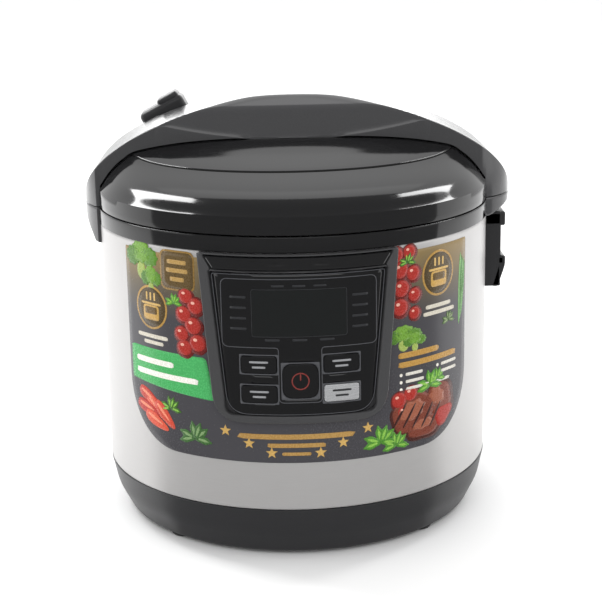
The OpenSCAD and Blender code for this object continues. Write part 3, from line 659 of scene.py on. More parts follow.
@dataclass(frozen=True)
class CookerSizes:
    """Sizes that several sub-assemblies share, taken from the CAD nodes' boxes."""

    radius: float
    steel_low: float
    steel_high: float
    seam: float
    arm_left: float
    arm_right: float
    crown: float
    bridge_top: float

    @classmethod
    def from_frame(cls) -> "CookerSizes":
        """Read the sizes from the boxes of the shell, the lid and the bridge."""
        low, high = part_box("outer_shell")
        lid_low, lid_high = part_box("lid_cover")
        arm_low, arm_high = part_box("grip_bridge")
        return cls(
            high.x, low.z, high.z, lid_low.z - 0.4 * MM, -arm_low.x, arm_high.x,
            lid_high.z - lid_low.z + 0.4 * MM, arm_high.z - lid_low.z + 0.4 * MM,
        )


# ---------------------------------------------------------------- body


@dataclass
class Housing:
    """Steel shell, base ring, rim ring with its hinge ears, side lugs and ladle holder."""

    size: CookerSizes
    wardrobe: Wardrobe
    steel_wall: float = 1.0 * MM
    pod_middle: float = 13.0 * MM
    pod_half: float = 37.0 * MM
    pod_radius_left: float = 68.0 * MM
    pod_radius_right: float = 41.4 * MM

    def build(self) -> None:
        """Build and dress every piece of the housing."""
        self.steel_shell()
        self.base_ring()
        self.rim_ring()
        self.side_lug("left", -1, self.size.arm_left, self.pod_radius_left, 24.0 * MM)
        self.side_lug("right", 1, self.size.arm_right, self.pod_radius_right, 12.4 * MM)
        self.ladle_holder()

    def steel_shell(self) -> None:
        """Sheet bent round the axis, with rolled edges and an opening at the back for the inlet.

        A point is at the shell's radius, at the angle of its column and the
        height of its row; the radius draws in by half a millimetre over the
        last millimetre at each edge. Faces inside the opening are left out.
        """
        s = self.size
        inlet_low, inlet_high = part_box("power_inlet")
        half = math.asin(min(0.9, (inlet_high.x - 6 * MM) / s.radius))
        opening = np.linspace(math.pi / 2 - half, math.pi / 2 + half, 9)
        rest = np.linspace(math.pi / 2 + half, 2.5 * math.pi - half, 200)
        angle = np.concatenate([opening, rest[1:-1]])
        middle = (inlet_low.z + inlet_high.z) / 2
        cut = [middle - 11 * MM, middle + 11 * MM]
        height = np.unique(
            np.concatenate(
                [
                    s.steel_low + np.array([0, 0.3, 0.8, 1.4]) * MM,
                    np.linspace(s.steel_low + 2 * MM, cut[0], 8),
                    np.linspace(cut[0], cut[1], 6),
                    np.linspace(cut[1], s.steel_high - 2 * MM, 30),
                    s.steel_high - np.array([1.4, 0.8, 0.3, 0]) * MM,
                ]
            ).round(7)
        )
        edge = np.minimum(height - s.steel_low, s.steel_high - height)
        radius = s.radius - 0.6 * MM * np.clip(1 - edge / (1.4 * MM), 0, 1) ** 2
        a, h = np.meshgrid(angle, height)
        r = radius[:, None] + 0 * a
        grid = np.stack([r * np.cos(a), r * np.sin(a), h], axis=-1)
        centre_h = (height[:-1] + height[1:])[:, None] / 2
        column = np.arange(len(angle))[None, :]
        inside = (column < len(opening) - 1) & (centre_h > cut[0]) & (centre_h < cut[1])
        shell = mesh_from_grid("steel_shell", grid, wrap_columns=True, keep=~inside)
        wall = shell.modifiers.new("wall", "SOLIDIFY")
        wall.thickness = self.steel_wall
        wall.offset = -1.0
        self.wardrobe.dress(shell, "brushed_steel", Body.BASE)
        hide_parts("outer_shell")

    def base_ring(self) -> None:
        """Black base: a closed profile with rounded corners, turned round the axis."""
        s, r = self.size, self.size.radius
        low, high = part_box("base_ring")
        corners = [
            (r - 29 * MM, low.z), (r - 12 * MM, low.z), (r - 10.6 * MM, low.z + 1.6 * MM),
            (r - 3.2 * MM, s.steel_low - 17 * MM), (r - 1.5 * MM, s.steel_low - 8 * MM),
            (r - 0.2 * MM, s.steel_low - 2.2 * MM), (r + 0.2 * MM, s.steel_low - 0.5 * MM),
            (r - 1.3 * MM, s.steel_low), (r - 1.3 * MM, high.z), (r - 3.2 * MM, high.z),
            (r - 3.2 * MM, s.steel_low - 4 * MM), (r - 5.8 * MM, s.steel_low - 16 * MM),
            (r - 13.4 * MM, low.z + 3 * MM), (r - 29 * MM, low.z + 3 * MM),
        ]
        radii = np.array([0.3, 2, 2, 6, 4, 1.2, 0.5, 0.2, 0.2, 0.2, 0.5, 1, 0.6, 0.3]) * MM
        ring = crisp(turned("base_band", eased(corners, radii)))
        self.wardrobe.dress(ring, "black_satin", Body.BASE)
        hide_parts("base_ring")

    def rim_ring(self) -> None:
        """Black ring above the steel with the pot's seat inside it, and the two hinge ears."""
        s, r = self.size, self.size.radius
        seam, outer, inner = s.seam, r + 0.6 * MM, r - 1.2 * MM
        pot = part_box("inner_pot")[1].x
        seat, wall = pot + 1.4 * MM, pot + 4 * MM
        well = seat - 8.2 * MM
        corners = [
            (well, seam - 14 * MM), (well + 2 * MM, seam - 14 * MM), (well + 2 * MM, seam - 8.6 * MM),
            (wall, seam - 8.6 * MM), (wall, seam - 2.6 * MM), (inner - 2 * MM, seam - 2.6 * MM),
            (inner - 2 * MM, seam - 19.5 * MM), (inner, seam - 19.5 * MM), (inner, s.steel_high),
            (outer, s.steel_high), (outer, seam - 0.3 * MM), (seat, seam - 0.3 * MM),
            (seat, seam - 6 * MM), (well, seam - 6 * MM),
        ]
        radii = np.array([0.3, 0.3, 0.3, 0.5, 0.3, 0.3, 0.3, 0.3, 0.2, 0.6, 0.9, 0.8, 0.4, 0.6]) * MM
        band = crisp(turned("rim_band", eased(corners, radii)))
        pin_low, pin_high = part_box("hinge_pin")
        hinge_y, hinge_z = (pin_low.y + pin_high.y) / 2, (pin_low.z + pin_high.z) / 2
        barrel = (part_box("hinge_bracket")[1].z - hinge_z)
        turn = np.radians(np.linspace(-35, 200, 26))
        knuckle = np.stack(
            [hinge_y + (barrel + 0.5 * MM) * np.cos(turn), hinge_z + (barrel + 0.5 * MM) * np.sin(turn)],
            axis=1,
        )
        foot = np.array([(outer - 2 * MM, seam - 10.5 * MM), (outer + 3 * MM, seam - 10.5 * MM)])
        outline = np.vstack([knuckle, foot])
        ears = [
            self.across_x(f"ear_{k}", outline, sign * 22 * MM, sign * 30 * MM)
            for k, sign in enumerate((-1, 1))
        ]
        angle = np.linspace(math.radians(90 - 12.9), math.radians(90 + 12.9), 30)[:, None]
        apron = eased(
            [(outer - 2 * MM, seam - 10.5 * MM), (outer + 3 * MM, seam - 10.5 * MM),
             (outer + 3 * MM, seam - 5 * MM), (outer - 2 * MM, seam - 5 * MM)], [0.8 * MM] * 4,
        )
        grid = np.stack(
            [apron[None, :, 0] * np.cos(angle), apron[None, :, 0] * np.sin(angle),
             apron[None, :, 1] + 0 * angle], axis=-1,
        )
        ends = [grid[k : k + 1].mean(axis=1, keepdims=True) + 0 * grid[:1] for k in (0, len(grid) - 1)]
        back = mesh_from_grid("apron", np.concatenate([ends[0], grid, ends[1]]), wrap_columns=True)
        ring = joined("rim_ring_body", [band, *ears, crisp(back)])
        self.wardrobe.dress(ring, "black_gloss", Body.BASE)
        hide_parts("rim_ring")

    def across_x(self, name: str, outline: np.ndarray, start: float, end: float) -> bpy.types.Object:
        """Carry an outline of Y and Z along X, with eased edges at both ends.

        Args:
            name: Name of the object.
            outline: Points of Y and Z, anticlockwise.
            start: Where it starts along X.
            end: Where it ends along X.

        Returns:
            The block.
        """
        low, high = sorted((start, end))
        ease = 0.6 * MM

        def place(across: np.ndarray, up: np.ndarray, out: np.ndarray) -> np.ndarray:
            """Put the outline's two coordinates on Y and Z and the height on X."""
            return np.stack([out, across, up], axis=-1)

        levels = [
            (outline, ease, low), (outline, 0.15 * MM, low + 0.4 * ease), (outline, 0.0, low + ease),
            (outline, 0.0, high - ease), (outline, 0.15 * MM, high - 0.4 * ease), (outline, ease, high),
        ]
        return crisp(plate(name, levels, place, count=90, fills=3))

    def side_lug(self, side: str, sign: int, arm: float, pod: float, drop: float) -> None:
        """Lug under one arm of the bridge, tapering inwards towards its foot.

        At each height the outside follows the arm's round plan, held back to a
        limit that slopes in below half of the drop; the inside follows the rim.

        Args:
            side: Word for its name.
            sign: -1 for the left, 1 for the right.
            arm: How far the arm reaches from the axis.
            pod: Radius of the arm's plan.
            drop: How far the lug reaches below the seam.
        """
        s = self.size
        shell = s.radius + 0.4 * MM
        y = self.pod_middle + self.pod_half * np.sin(np.linspace(-np.pi / 2, np.pi / 2, 61))
        fall = np.concatenate([[0.0, 0.4, 0.9], np.linspace(1.6, drop / MM - 1.6, 14),
                               drop / MM - np.array([0.9, 0.4, 0.0])]) * MM
        y, down = np.meshgrid(y, fall)
        plan = arm - pod + np.sqrt(np.maximum(pod**2 - (y - self.pod_middle) ** 2, 0))
        limit = np.interp(down, [0, 0.45 * drop, drop], [arm + 1 * MM, arm - 1.5 * MM, s.radius + 2 * MM])
        ease = 0.7 * MM * (np.clip(1 - down / (0.9 * MM), 0, 1) + np.clip(
            1 - (drop - down) / (0.9 * MM), 0, 1)) ** 2
        out = soft_minimum(plan, limit, 0.8 * MM) - ease
        rim = np.sqrt(shell**2 - y**2)
        out = np.maximum(out, rim - 0.3 * MM)
        z = s.seam - 0.25 * MM - down
        outside = np.stack([sign * out, y, z], axis=-1)
        inside = np.stack([sign * (rim - 1.2 * MM), y, z], axis=-1)
        loop = np.concatenate([outside, inside[:, ::-1]], axis=1)
        caps = [0.5 * (loop[k : k + 1] + loop[k : k + 1, ::-1]) for k in (0, len(loop) - 1)]
        grid = np.concatenate([caps[0], loop, caps[1]])
        lug = crisp(mesh_from_grid(f"lug_{side}", grid, wrap_columns=True), 40)
        # Black gloss lug, in the grey copy whose lighter colour is painted sheen.
        self.wardrobe.dress(lug, "painted_sheen_gloss", Body.BASE, "black_gloss")
        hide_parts(f"side_lug_{side}")

    def ladle_holder(self) -> None:
        """Ladle clip: a back plate, two cheeks, a block at the top and a bulging lip."""
        low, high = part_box("ladle_holder")
        middle, r = (low.y + high.y) / 2, self.size.radius
        tall = high.z - low.z
        pieces = [
            soft_box("clip_back", (r - 0.5 * MM, middle, low.z + tall / 2), (3.5 * MM, 10.6 * MM, tall / 2),
                     1 * MM),
            soft_box("clip_top", (r + 6.5 * MM, middle, high.z - 5 * MM), (7.4 * MM, 11 * MM, 5 * MM),
                     1.6 * MM),
            soft_box("clip_lip", (r + 11 * MM, middle, high.z - 34.5 * MM), (3 * MM, 11 * MM, 3.6 * MM),
                     1.8 * MM),
        ]
        for sign in (-1, 1):
            pieces.append(
                soft_box(f"clip_cheek_{sign + 1}", (r + 4.5 * MM, middle + sign * 9.4 * MM, low.z + tall / 2),
                         (6.4 * MM, 1.6 * MM, tall / 2), 1 * MM)
            )
        outline = np.array([(14, -31), (14, -38), (9, -53), (5.5, -53), (10, -38), (10, -31)]) * MM
        y = np.linspace(-11, 11, 9) * MM + middle
        bulge = eased(outline[::-1], [2 * MM, 0.6 * MM, 0.6 * MM, 1 * MM, 3 * MM, 1.5 * MM])
        points = resampled(bulge, 60)
        grid = np.stack(
            [np.broadcast_to(r + points[None, :, 0], (9, 60)), np.broadcast_to(y[:, None], (9, 60)),
             np.broadcast_to(high.z + points[None, :, 1], (9, 60))], axis=-1,
        )
        ends = [grid[k : k + 1].mean(axis=1, keepdims=True) + 0 * grid[:1] for k in (0, 8)]
        pieces.append(crisp(mesh_from_grid("clip_bulge", np.concatenate([ends[0], grid, ends[1]]),
                                           wrap_columns=True)))
        holder = joined("ladle_clip", pieces)
        self.wardrobe.dress(holder, "black_satin", Body.BASE)
        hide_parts("ladle_holder")


def soft_minimum(first: np.ndarray, second: np.ndarray, ease: float) -> np.ndarray:
    """Smaller of two values, blended over a distance where they are nearly equal."""
    gap = np.clip(0.5 + 0.5 * (second - first) / ease, 0, 1)
    return second * (1 - gap) + first * gap - ease * gap * (1 - gap) * 0.5


# ---------------------------------------------------------------- lid


@dataclass
class Lid:
    """Domed cover, lens-shaped inlay, grip bridge and steam valve."""

    size: CookerSizes
    wardrobe: Wardrobe
    front: float = 35.0 * MM
    rear: float = 38.0 * MM
    flank_power: float = 1.75
    inlay_depth: float = 85.0 * MM
    inlay_width: float = 113.0 * MM
    shadow_gap: float = 1.5 * MM

    def __post_init__(self) -> None:
        """Work out the dome's level ellipses once, as a smooth curve through five of them."""
        r, crown = self.size.radius / MM, self.size.crown / MM
        levels = np.array(
            [(r, r, 12), (r - 6, r - 15, 21.6), (r - 13, r - 48, 31.4), (r - 20, r - 72, 38),
             (r - 51, r - 98, crown), (26, 11, crown + 0.7), (0.01, 0.01, crown + 0.8)]
        ) * MM
        self.levels = smooth_curve(levels, 30)

    def dome_height(self, x: np.ndarray, y: np.ndarray) -> np.ndarray:
        """Height of the dome above the seam over points of the plan.

        For each point it finds the level ellipse through it, by the level at
        which (x / half width) squared plus (y / half depth) squared passes one.

        Args:
            x: X of the points.
            y: Y of the points.

        Returns:
            Heights, of the points' shape.
        """
        wide, deep, high = self.levels.T
        flat = np.stack([x.ravel(), y.ravel()])
        share = (flat[0][:, None] / wide) ** 2 + (flat[1][:, None] / deep) ** 2
        over = np.clip((share < 1).sum(axis=1), 1, len(high) - 1)
        row = np.arange(len(over))
        before, after = share[row, over - 1], share[row, over]
        t = np.clip((1 - before) / np.maximum(after - before, 1e-12), 0, 1)
        height = high[over - 1] * (1 - t) + high[over] * t
        return np.where(share[:, 0] < 1, height, 0.0).reshape(x.shape)

    def build(self) -> None:
        """Build and dress every piece of the lid."""
        self.cover()
        self.inlay()
        self.bridge()
        self.valve()

    def cover(self) -> None:
        """Dome through the level ellipses over an upright skirt, closed underneath.

        A point is at its column's angle on its row's ellipse, at that
        ellipse's height.
        """
        s, r = self.size, self.size.radius
        skirt = np.array(
            [(0.01, 0.01, 8), (129.9, 129.9, 8), (129.9, 129.9, 0.4), (132.4, 132.4, 0.4),
             (132.85, 132.85, 0.6), (133, 133, 1.1), (133, 133, 4), (133, 133, 8)]
        ) * MM
        skirt[1:, :2] += r - 133 * MM
        rows = np.vstack([skirt, self.levels])
        angle = np.linspace(0, 2 * np.pi, 256, endpoint=False)[None, :]
        grid = np.stack(
            [rows[:, :1] * np.cos(angle), rows[:, 1:2] * np.sin(angle), s.seam + rows[:, 2:] + 0 * angle],
            axis=-1,
        )
        dome = crisp(mesh_from_grid("lid_dome", grid, wrap_columns=True), 40)
        self.wardrobe.dress(dome, "black_gloss", Body.LID)
        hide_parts("lid_cover")

    def front_edge(self, x: np.ndarray) -> np.ndarray:
        """Y of the bridge's bowed front edge at each X."""
        return -self.front + 11 * MM * (x / (self.size.radius - 2 * MM)) ** 2

    def inlay(self) -> None:
        """Lens-shaped panel on the dome in front of the bridge, and a near-black strip round it that paints the
        shadow in the crease where it meets the dome.

        Rows run across and columns from the front curve, an ellipse, back to
        the bridge. The height is the dome's plus a rise that rolls down to the
        dome at the front curve.
        """
        tip = 0.943 * self.inlay_width
        x = tip * np.sin(np.linspace(-np.pi / 2, np.pi / 2, 97))[:, None]
        curve = -self.inlay_depth * np.sqrt(1 - (x / self.inlay_width) ** 2)
        back = np.maximum(self.front_edge(x) + 2.5 * MM, curve + 0.1 * MM)
        share = np.concatenate([[0, 0, 0.006, 0.015, 0.03], np.linspace(0.06, 1, 26), [1.0]])[None, :]
        rise = np.concatenate([[-1.2, -0.1, 0.25, 0.42, 0.5], np.full(26, 0.55), [-1.2]])[None, :] * MM
        y = curve + (back - curve) * share
        grid = np.stack([x + 0 * y, y, self.size.seam + self.dome_height(x + 0 * y, y) + rise], axis=-1)
        lens = crisp(mesh_from_grid("lens_inlay", grid, wrap_columns=True), 40)
        self.wardrobe.dress(lens, "black_gloss", Body.LID)
        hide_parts("front_inlay")
        # Near-black strip along the lens's front curve: painted shadow in the crease between lens and dome.
        step = np.array([[-1.0, -1.0, 0.8, 0.8]]) * MM
        y = curve + step
        lift = np.array([[-0.5, 0.07, 0.07, -0.5]]) * MM
        grid = np.stack([x + 0 * y, y, self.size.seam + self.dome_height(x + 0 * y, y) + lift], axis=-1)
        joint = mesh_from_grid("lens_shadow_strip", grid, wrap_columns=True)
        self.wardrobe.dress(joint, "joint_shadow", Body.LID, "black_satin")

    def bridge_plan(self, x: np.ndarray) -> tuple[np.ndarray, np.ndarray]:
        """Front and rear edge of the bridge's plan at each X, with round arm ends."""
        edge = self.size.radius - 2 * MM
        front = self.front_edge(x)
        rear = self.rear + 10 * MM * (x / edge) ** 2
        right = x > 0
        arm = np.where(right, self.size.arm_right, self.size.arm_left)
        pod = np.where(right, 41.4, 68.0) * MM
        half = np.sqrt(np.maximum(pod**2 - (np.abs(x) - arm + pod) ** 2, 1e-10))
        half = np.minimum(half, 37 * MM)
        outside = np.clip((np.abs(x) - edge + 5 * MM) / (5 * MM), 0, 1)
        blend = outside**2 * (3 - 2 * outside)
        return (
            front * (1 - blend) + (13 * MM - half) * blend,
            rear * (1 - blend) + (13 * MM + half) * blend,
        )

    def section(self, y: np.ndarray) -> np.ndarray:
        """Greatest height of the bridge's cross-section at each Y, with eased creases."""
        at = np.array([-60, -35, -25.5, -12, 2, 18, 29, 38, 60]) * MM
        top = self.size.bridge_top / MM
        high = np.array([20, 45.2, top - 8, top - 1.5, top, top - 1.6, top - 10, 45.2, 20]) * MM
        spread = np.linspace(-1.6, 1.6, 9) * MM
        return np.interp(y[..., None] + spread, at, high).mean(axis=-1)

    def bridge(self) -> None:
        """Arched grip over the lid, and a near-black foot standing back under its edge, which paints the shadow in
        the gap beneath it.

        Rows run from the left foot over the crown to the right foot along a
        superellipse; columns run from the front edge back. The height is the
        smaller of the arch's and the cross-section's, blended where they meet.
        """
        s = self.size
        run = np.linspace(-1, 1, 241)
        run = np.sign(run) * np.abs(run) ** 0.92
        t = (1 - np.abs(run)) * np.pi / 2
        arm = np.where(run > 0, s.arm_right, s.arm_left)
        corner = np.where(run > 0, 1.9, 2.0)
        x = (np.sign(run) * arm * np.cos(t) ** (2 / self.flank_power))[:, None]
        arch = (s.bridge_top * np.sin(t) ** (2 / corner))[:, None]
        front, rear = self.bridge_plan(x)
        share = np.concatenate(
            [[0.0, 0.004, 0.012, 0.025], np.linspace(0.04, 0.96, 60), [0.975, 0.988, 0.996, 1.0]]
        )
        y = front + (rear - front) * share[None, :]
        height = soft_minimum(arch + 0 * y, self.section(y), 2.4 * MM)
        edge = np.minimum(y - front, rear - y) / (1.3 * MM)
        height = height - 0.9 * MM * np.clip(1 - edge, 0, 1) ** 2
        on_dome = np.hypot(x, y) < s.radius - 0.3 * MM
        floor = np.where(on_dome, self.dome_height(x + 0 * y, y) + self.shadow_gap, 0.5 * MM)
        ends = [np.minimum(floor[:, [k]], height[:, [k]]) for k in (0, -1)]
        height = np.maximum(height, np.minimum(floor, self.shadow_gap + height))
        columns_y = np.concatenate([y[:, :1], y, y[:, -1:]], axis=1)
        columns_z = np.concatenate([ends[0], height, ends[1]], axis=1)
        grid = np.stack([x + 0 * columns_y, columns_y, s.seam + columns_z], axis=-1)
        arch_piece = crisp(mesh_from_grid("grip_arch", grid, wrap_columns=True), 38)
        # Black gloss grip, in the grey copy whose lighter colour is painted sheen.
        self.wardrobe.dress(arch_piece, "painted_sheen_gloss", Body.LID, "black_gloss")
        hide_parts("grip_bridge")
        # Near-black foot under the grip: painted shadow filling the gap between grip and dome.
        x = np.linspace(-124, 124, 125)[:, None] * MM
        front, rear = self.bridge_plan(x)
        y = np.concatenate([front + 2 * MM, front + 2 * MM, rear - 2 * MM, rear - 2 * MM], axis=1)
        lift = np.array([[-2.0, 2.4, 2.4, -2.0]]) * MM
        grid = np.stack([x + 0 * y, y, s.seam + self.dome_height(x + 0 * y, y) + lift], axis=-1)
        foot = mesh_from_grid("grip_shadow_foot", grid, wrap_columns=True)
        self.wardrobe.dress(foot, "joint_shadow", Body.LID, "black_satin")

    def valve(self) -> None:
        """Weighted steam valve: a tilted lever cap with a stepped top on a short neck."""
        joint = next(j for j in frame["joints"] if j["name"] == "valve_turn")
        axis = Vector(joint["axis"]).normalized()
        tilt = math.atan2(axis.x, axis.z)
        place = Matrix.Translation(joint["pos_m"]) @ Matrix.Rotation(tilt, 4, "Y")
        pieces = [
            soft_box("valve_block", (3 * MM, 0, 14 * MM), (17 * MM, 10.5 * MM, 8 * MM), 4 * MM, 8),
            soft_box("valve_top", (10 * MM, 0, 20 * MM), (8.2 * MM, 8.8 * MM, 5 * MM), 2.6 * MM, 8),
        ]
        profile = eased([(0.3, -2), (3.4, -2), (3.4, 7.4), (9, 7.4), (9, 11), (0.3, 11)],
                        [0.1, 0.6, 0.2, 0.6, 0.4, 0.1]) * MM
        pieces.append(crisp(turned("valve_neck", profile, 64)))
        cap = moved(joined("valve_lever", pieces), place)
        self.wardrobe.dress(cap, "black_satin", Body.VALVE, "black_gloss")
        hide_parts("pressure_valve")


def smooth_curve(points: np.ndarray, steps: int) -> np.ndarray:
    """Draw a Catmull-Rom curve through a row of points.

    Between two points the curve is the cubic whose ends' tangents are half of
    the step from the point before to the point after.

    Args:
        points: Points in order, n by k.
        steps: Steps from each point to the next.

    Returns:
        Points along the curve.
    """
    padded = np.vstack([2 * points[0] - points[1], points, 2 * points[-1] - points[-2]])
    a, b, c, d = (padded[k : k + len(points) - 1][:, None] for k in range(4))
    t = np.linspace(0, 1, steps, endpoint=False)[None, :, None]
    curve = 0.5 * (2 * b + (c - a) * t + (2 * a - 5 * b + 4 * c - d) * t**2
                   + (3 * b - a - 3 * c + d) * t**3)
    return np.vstack([curve.reshape(-1, points.shape[1]), points[-1:]])


# ---------------------------------------------------------------- panel


@dataclass
class ControlPanel:
    """Panel frame, release bar, glass with its printed lines, display and five keys."""

    size: CookerSizes
    wardrobe: Wardrobe
    proud: float = 4.0 * MM
    frame_width: float = 6.5 * MM
    half_top: float = 61.0 * MM
    half_low: float = 53.0 * MM
    drop: float = 119.0 * MM
    key_offset: float = 25.9 * MM
    rows: tuple[float, float] = (80.5 * MM, 99.7 * MM)
    start_drop: float = 91.0 * MM
    key_half: tuple[float, float] = (11.25 * MM, 5.5 * MM)
    start_half: float = 11.0 * MM
    gap: float = 0.35 * MM

    def __post_init__(self) -> None:
        """Work out the radii of the frame and the glass and the mapping on each."""
        self.radius = self.size.radius + self.proud
        self.glass = self.radius - 1 * MM
        self.on_glass = round_the_shell(self.glass)
        self.on_shell = round_the_shell(self.size.radius)

    def shield(self, shrink: float, top: float) -> np.ndarray:
        """Outline of the panel drawn in from its edge, with its top at a given drop."""
        high, low = self.half_top - shrink, self.half_low - shrink
        foot = -self.drop + 0.8 * shrink
        corner = 15 * MM - 0.6 * shrink
        corners = [(-low, foot), (low, foot), (high, -top), (-high, -top)]
        return eased(corners, [1.2 * corner, 1.2 * corner, 1.2 * MM, 1.2 * MM], 14) + [
            0, self.size.seam,
        ]

    def build(self) -> None:
        """Build and dress every piece of the panel."""
        self.surround()
        self.release_bar()
        self.window()
        self.print_lines()
        self.display()
        self.keys()

    def surround(self) -> None:
        """Frame round the glass with a bevelled edge, a backing sheet and the strip over the glass."""
        r, seam = self.size.radius, self.size.seam
        outer = unrolled(self.shield(0, 10.7 * MM), r)
        slot = np.array(
            [(-57.4, -11.9), (-52.7, -20.6), (-54.2, -22.2), (-46.6, -102.5), (-46.6, -113.8),
             (46.6, -113.8), (46.6, -102.5), (54.2, -22.2), (52.7, -20.6), (57.4, -11.9)]
        ) * MM
        slot = eased(slot, np.array([0.6, 0.4, 0.4, 3, 14, 14, 3, 0.4, 0.4, 0.6]) * MM, 12)
        inner = unrolled(slot + [0, seam], r)
        start = resampled(outer, 400)
        shift = int(np.argmin(np.abs(start - inner[0]).sum(axis=1)))
        outer = np.roll(start, -shift, axis=0)
        full = self.proud
        levels = [
            (inner, -0.2 * MM, 0.0), (outer, 0.0, 0.0), (outer, 0.0, full - 0.9 * MM),
            (outer, 0.25 * MM, full - 0.3 * MM), (outer, 0.8 * MM, full), (inner, -1.0 * MM, full),
            (inner, -0.6 * MM, full - 0.15 * MM), (inner, -0.2 * MM, full - 0.7 * MM),
        ]
        surround = crisp(plate("panel_frame", levels, self.on_shell, ring=True, count=400), 40)
        backing = plate(
            "panel_backing",
            [(unrolled(self.shield(2 * MM, 11.2 * MM), r), 0, -0.4 * MM),
             (unrolled(self.shield(2 * MM, 11.2 * MM), r), 0, 0.5 * MM)],
            self.on_shell, fills=14,
        )
        strip_outline = eased([(-53.6, -21.9), (53.6, -21.9), (53, -20.8), (-53, -20.8)], [0.3] * 4) * MM
        strip_outline = unrolled(strip_outline + [0, seam], r)
        strip = plate(
            "panel_strip", [(strip_outline, 0, 0), (strip_outline, 0, full - 0.4 * MM),
                            (strip_outline, 0.2 * MM, full - 0.1 * MM)], self.on_shell, count=300, fills=3,
        )
        whole = joined("panel_surround", [surround, backing, crisp(strip)])
        # Black gloss frame, in the grey copy whose lighter colour is painted sheen.
        self.wardrobe.dress(whole, "painted_sheen_gloss", Body.BASE, "black_gloss")
        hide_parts("control_bezel")

    def release_bar(self) -> None:
        """Release bar across the top of the panel, with slanted ends and a bevelled upper edge."""
        r = self.size.radius
        outline = eased([(-51.2, -20.3), (51.2, -20.3), (56.3, -12.3), (-56.3, -12.3)], [0.8] * 4) * MM
        outline = unrolled(outline + [0, self.size.seam], r)
        top = self.proud + 0.8 * MM
        levels = [
            (outline, 0.0, 1.6 * MM), (outline, 0.0, top - 1.1 * MM), (outline, 0.35 * MM, top - 0.4 * MM),
            (outline, 1.1 * MM, top),
        ]
        bar = crisp(plate("release_push_bar", levels, self.on_shell, count=300, fills=4), 26)
        self.wardrobe.dress(bar, "black_gloss", Body.RELEASE)
        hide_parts("release_bar")

    def window(self) -> None:
        """Curved glass with square openings for the keys.

        Rows are heights and columns are places across. The columns inside the
        keys' edges stand straight; the outermost follow the glass's edge. Faces
        inside an opening are left out, and the sheet then gets its thickness.
        """
        grow, seam = self.gap, self.size.seam
        wide, tall = self.key_half[0] + grow, self.key_half[1] + grow
        big = self.start_half + grow
        turn = math.asin(self.key_offset / self.radius)
        middle = turn * self.glass
        marks_x = np.array([-middle - wide, -middle + wide, -big, big, middle - wide, middle + wide])
        marks_z = -np.array(
            [22.1 * MM, self.rows[0] - tall, self.rows[0] + tall, self.rows[1] - tall, self.rows[1] + tall,
             self.start_drop - big, self.start_drop + big]
        )
        foot = -self.drop + 0.8 * self.frame_width + 0.2 * MM
        z = np.unique(np.concatenate([np.linspace(-22.1 * MM, -72 * MM, 14), marks_z,
                                      np.linspace(-108 * MM, foot, 12)]).round(7))[::-1]
        edge = self.half_top - self.frame_width - 0.4 * MM
        low = self.half_low - self.frame_width - 0.1 * MM
        half = np.interp(-z, [22.1 * MM, 102.7 * MM, 120 * MM], [edge, low, low])
        corner = 11 * MM
        into = np.clip(corner - (z - foot), 0, corner)
        half = half - (corner - np.sqrt(corner**2 - into**2))
        half = self.glass * np.arcsin(half / self.glass)
        x = np.unique(np.concatenate([np.linspace(-0.9999, 0.9999, 9) * marks_x[-1], marks_x]).round(7))
        x = np.concatenate([x[0] + np.array([-3, -2, -1]) / 3, x, x[-1] + np.array([1, 2, 3]) / 3])
        outer_left, outer_right = x[3], x[-4]
        columns = np.broadcast_to(x, (len(z), len(x))).copy()
        step = np.array([1.0, 2 / 3, 1 / 3])
        columns[:, :3] = outer_left + (-half[:, None] - outer_left) * step
        columns[:, -3:] = outer_right + (half[:, None] - outer_right) * step[::-1]
        squeeze = np.minimum(1, half / (outer_right + 2 * MM))[:, None]
        below = z[:, None] < marks_z.min() - 0.01 * MM
        columns[:, 3:-3] = np.where(below, columns[:, 3:-3] * squeeze, columns[:, 3:-3])
        columns[:, :3] = np.where(below, np.minimum(columns[:, :3], columns[:, 3:4] - 0.01 * MM),
                                  columns[:, :3])
        columns[:, -3:] = np.where(below, np.maximum(columns[:, -3:], columns[:, -4:-3] + 0.01 * MM),
                                   columns[:, -3:])
        grid = self.on_glass(columns, seam + z[:, None] + 0 * columns, 0 * columns)
        cx = (columns[:-1, :-1] + columns[:-1, 1:]) / 2
        cz = ((z[:-1] + z[1:]) / 2)[:, None]
        hole = (np.abs(cx) < big) & (np.abs(cz + self.start_drop) < big)
        for row in self.rows:
            hole |= (np.abs(np.abs(cx) - middle) < wide) & (np.abs(cz + row) < tall)
        glass = mesh_from_grid("panel_glass", grid, keep=~hole)
        aim_outwards(glass)
        wall = glass.modifiers.new("wall", "SOLIDIFY")
        wall.thickness, wall.offset = 1.6 * MM, -1.0
        self.wardrobe.dress(glass, "panel_gloss", Body.BASE)
        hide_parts("control_window")

    def line(self, name: str, outline: np.ndarray, width: float, rise: float = 0.06 * MM) -> bpy.types.Object:
        """Thin raised line along a closed outline on the glass.

        Args:
            name: Name of the object.
            outline: The line's middle, across and up, on the glass.
            width: Width of the line.
            rise: How far the line stands out of the glass.

        Returns:
            The line.
        """
        half = width / 2
        levels = [(outline, half, -0.1 * MM), (outline, half, rise), (outline, -half, rise),
                  (outline, -half, -0.1 * MM)]
        return plate(name, levels, self.on_glass, ring=True, count=260)

    def bar(self, name: str, x: float, z: float, half: float, tall: float) -> bpy.types.Object:
        """Small printed bar on the glass, centred at x and at z from the seam."""
        outline = box_outline(half, self.size.seam + z - tall, self.size.seam + z + tall, 0.25 * MM, x)
        levels = [(outline, 0, -0.1 * MM), (outline, 0, 0.07 * MM)]
        return plate(name, levels, self.on_glass, count=40, fills=2)

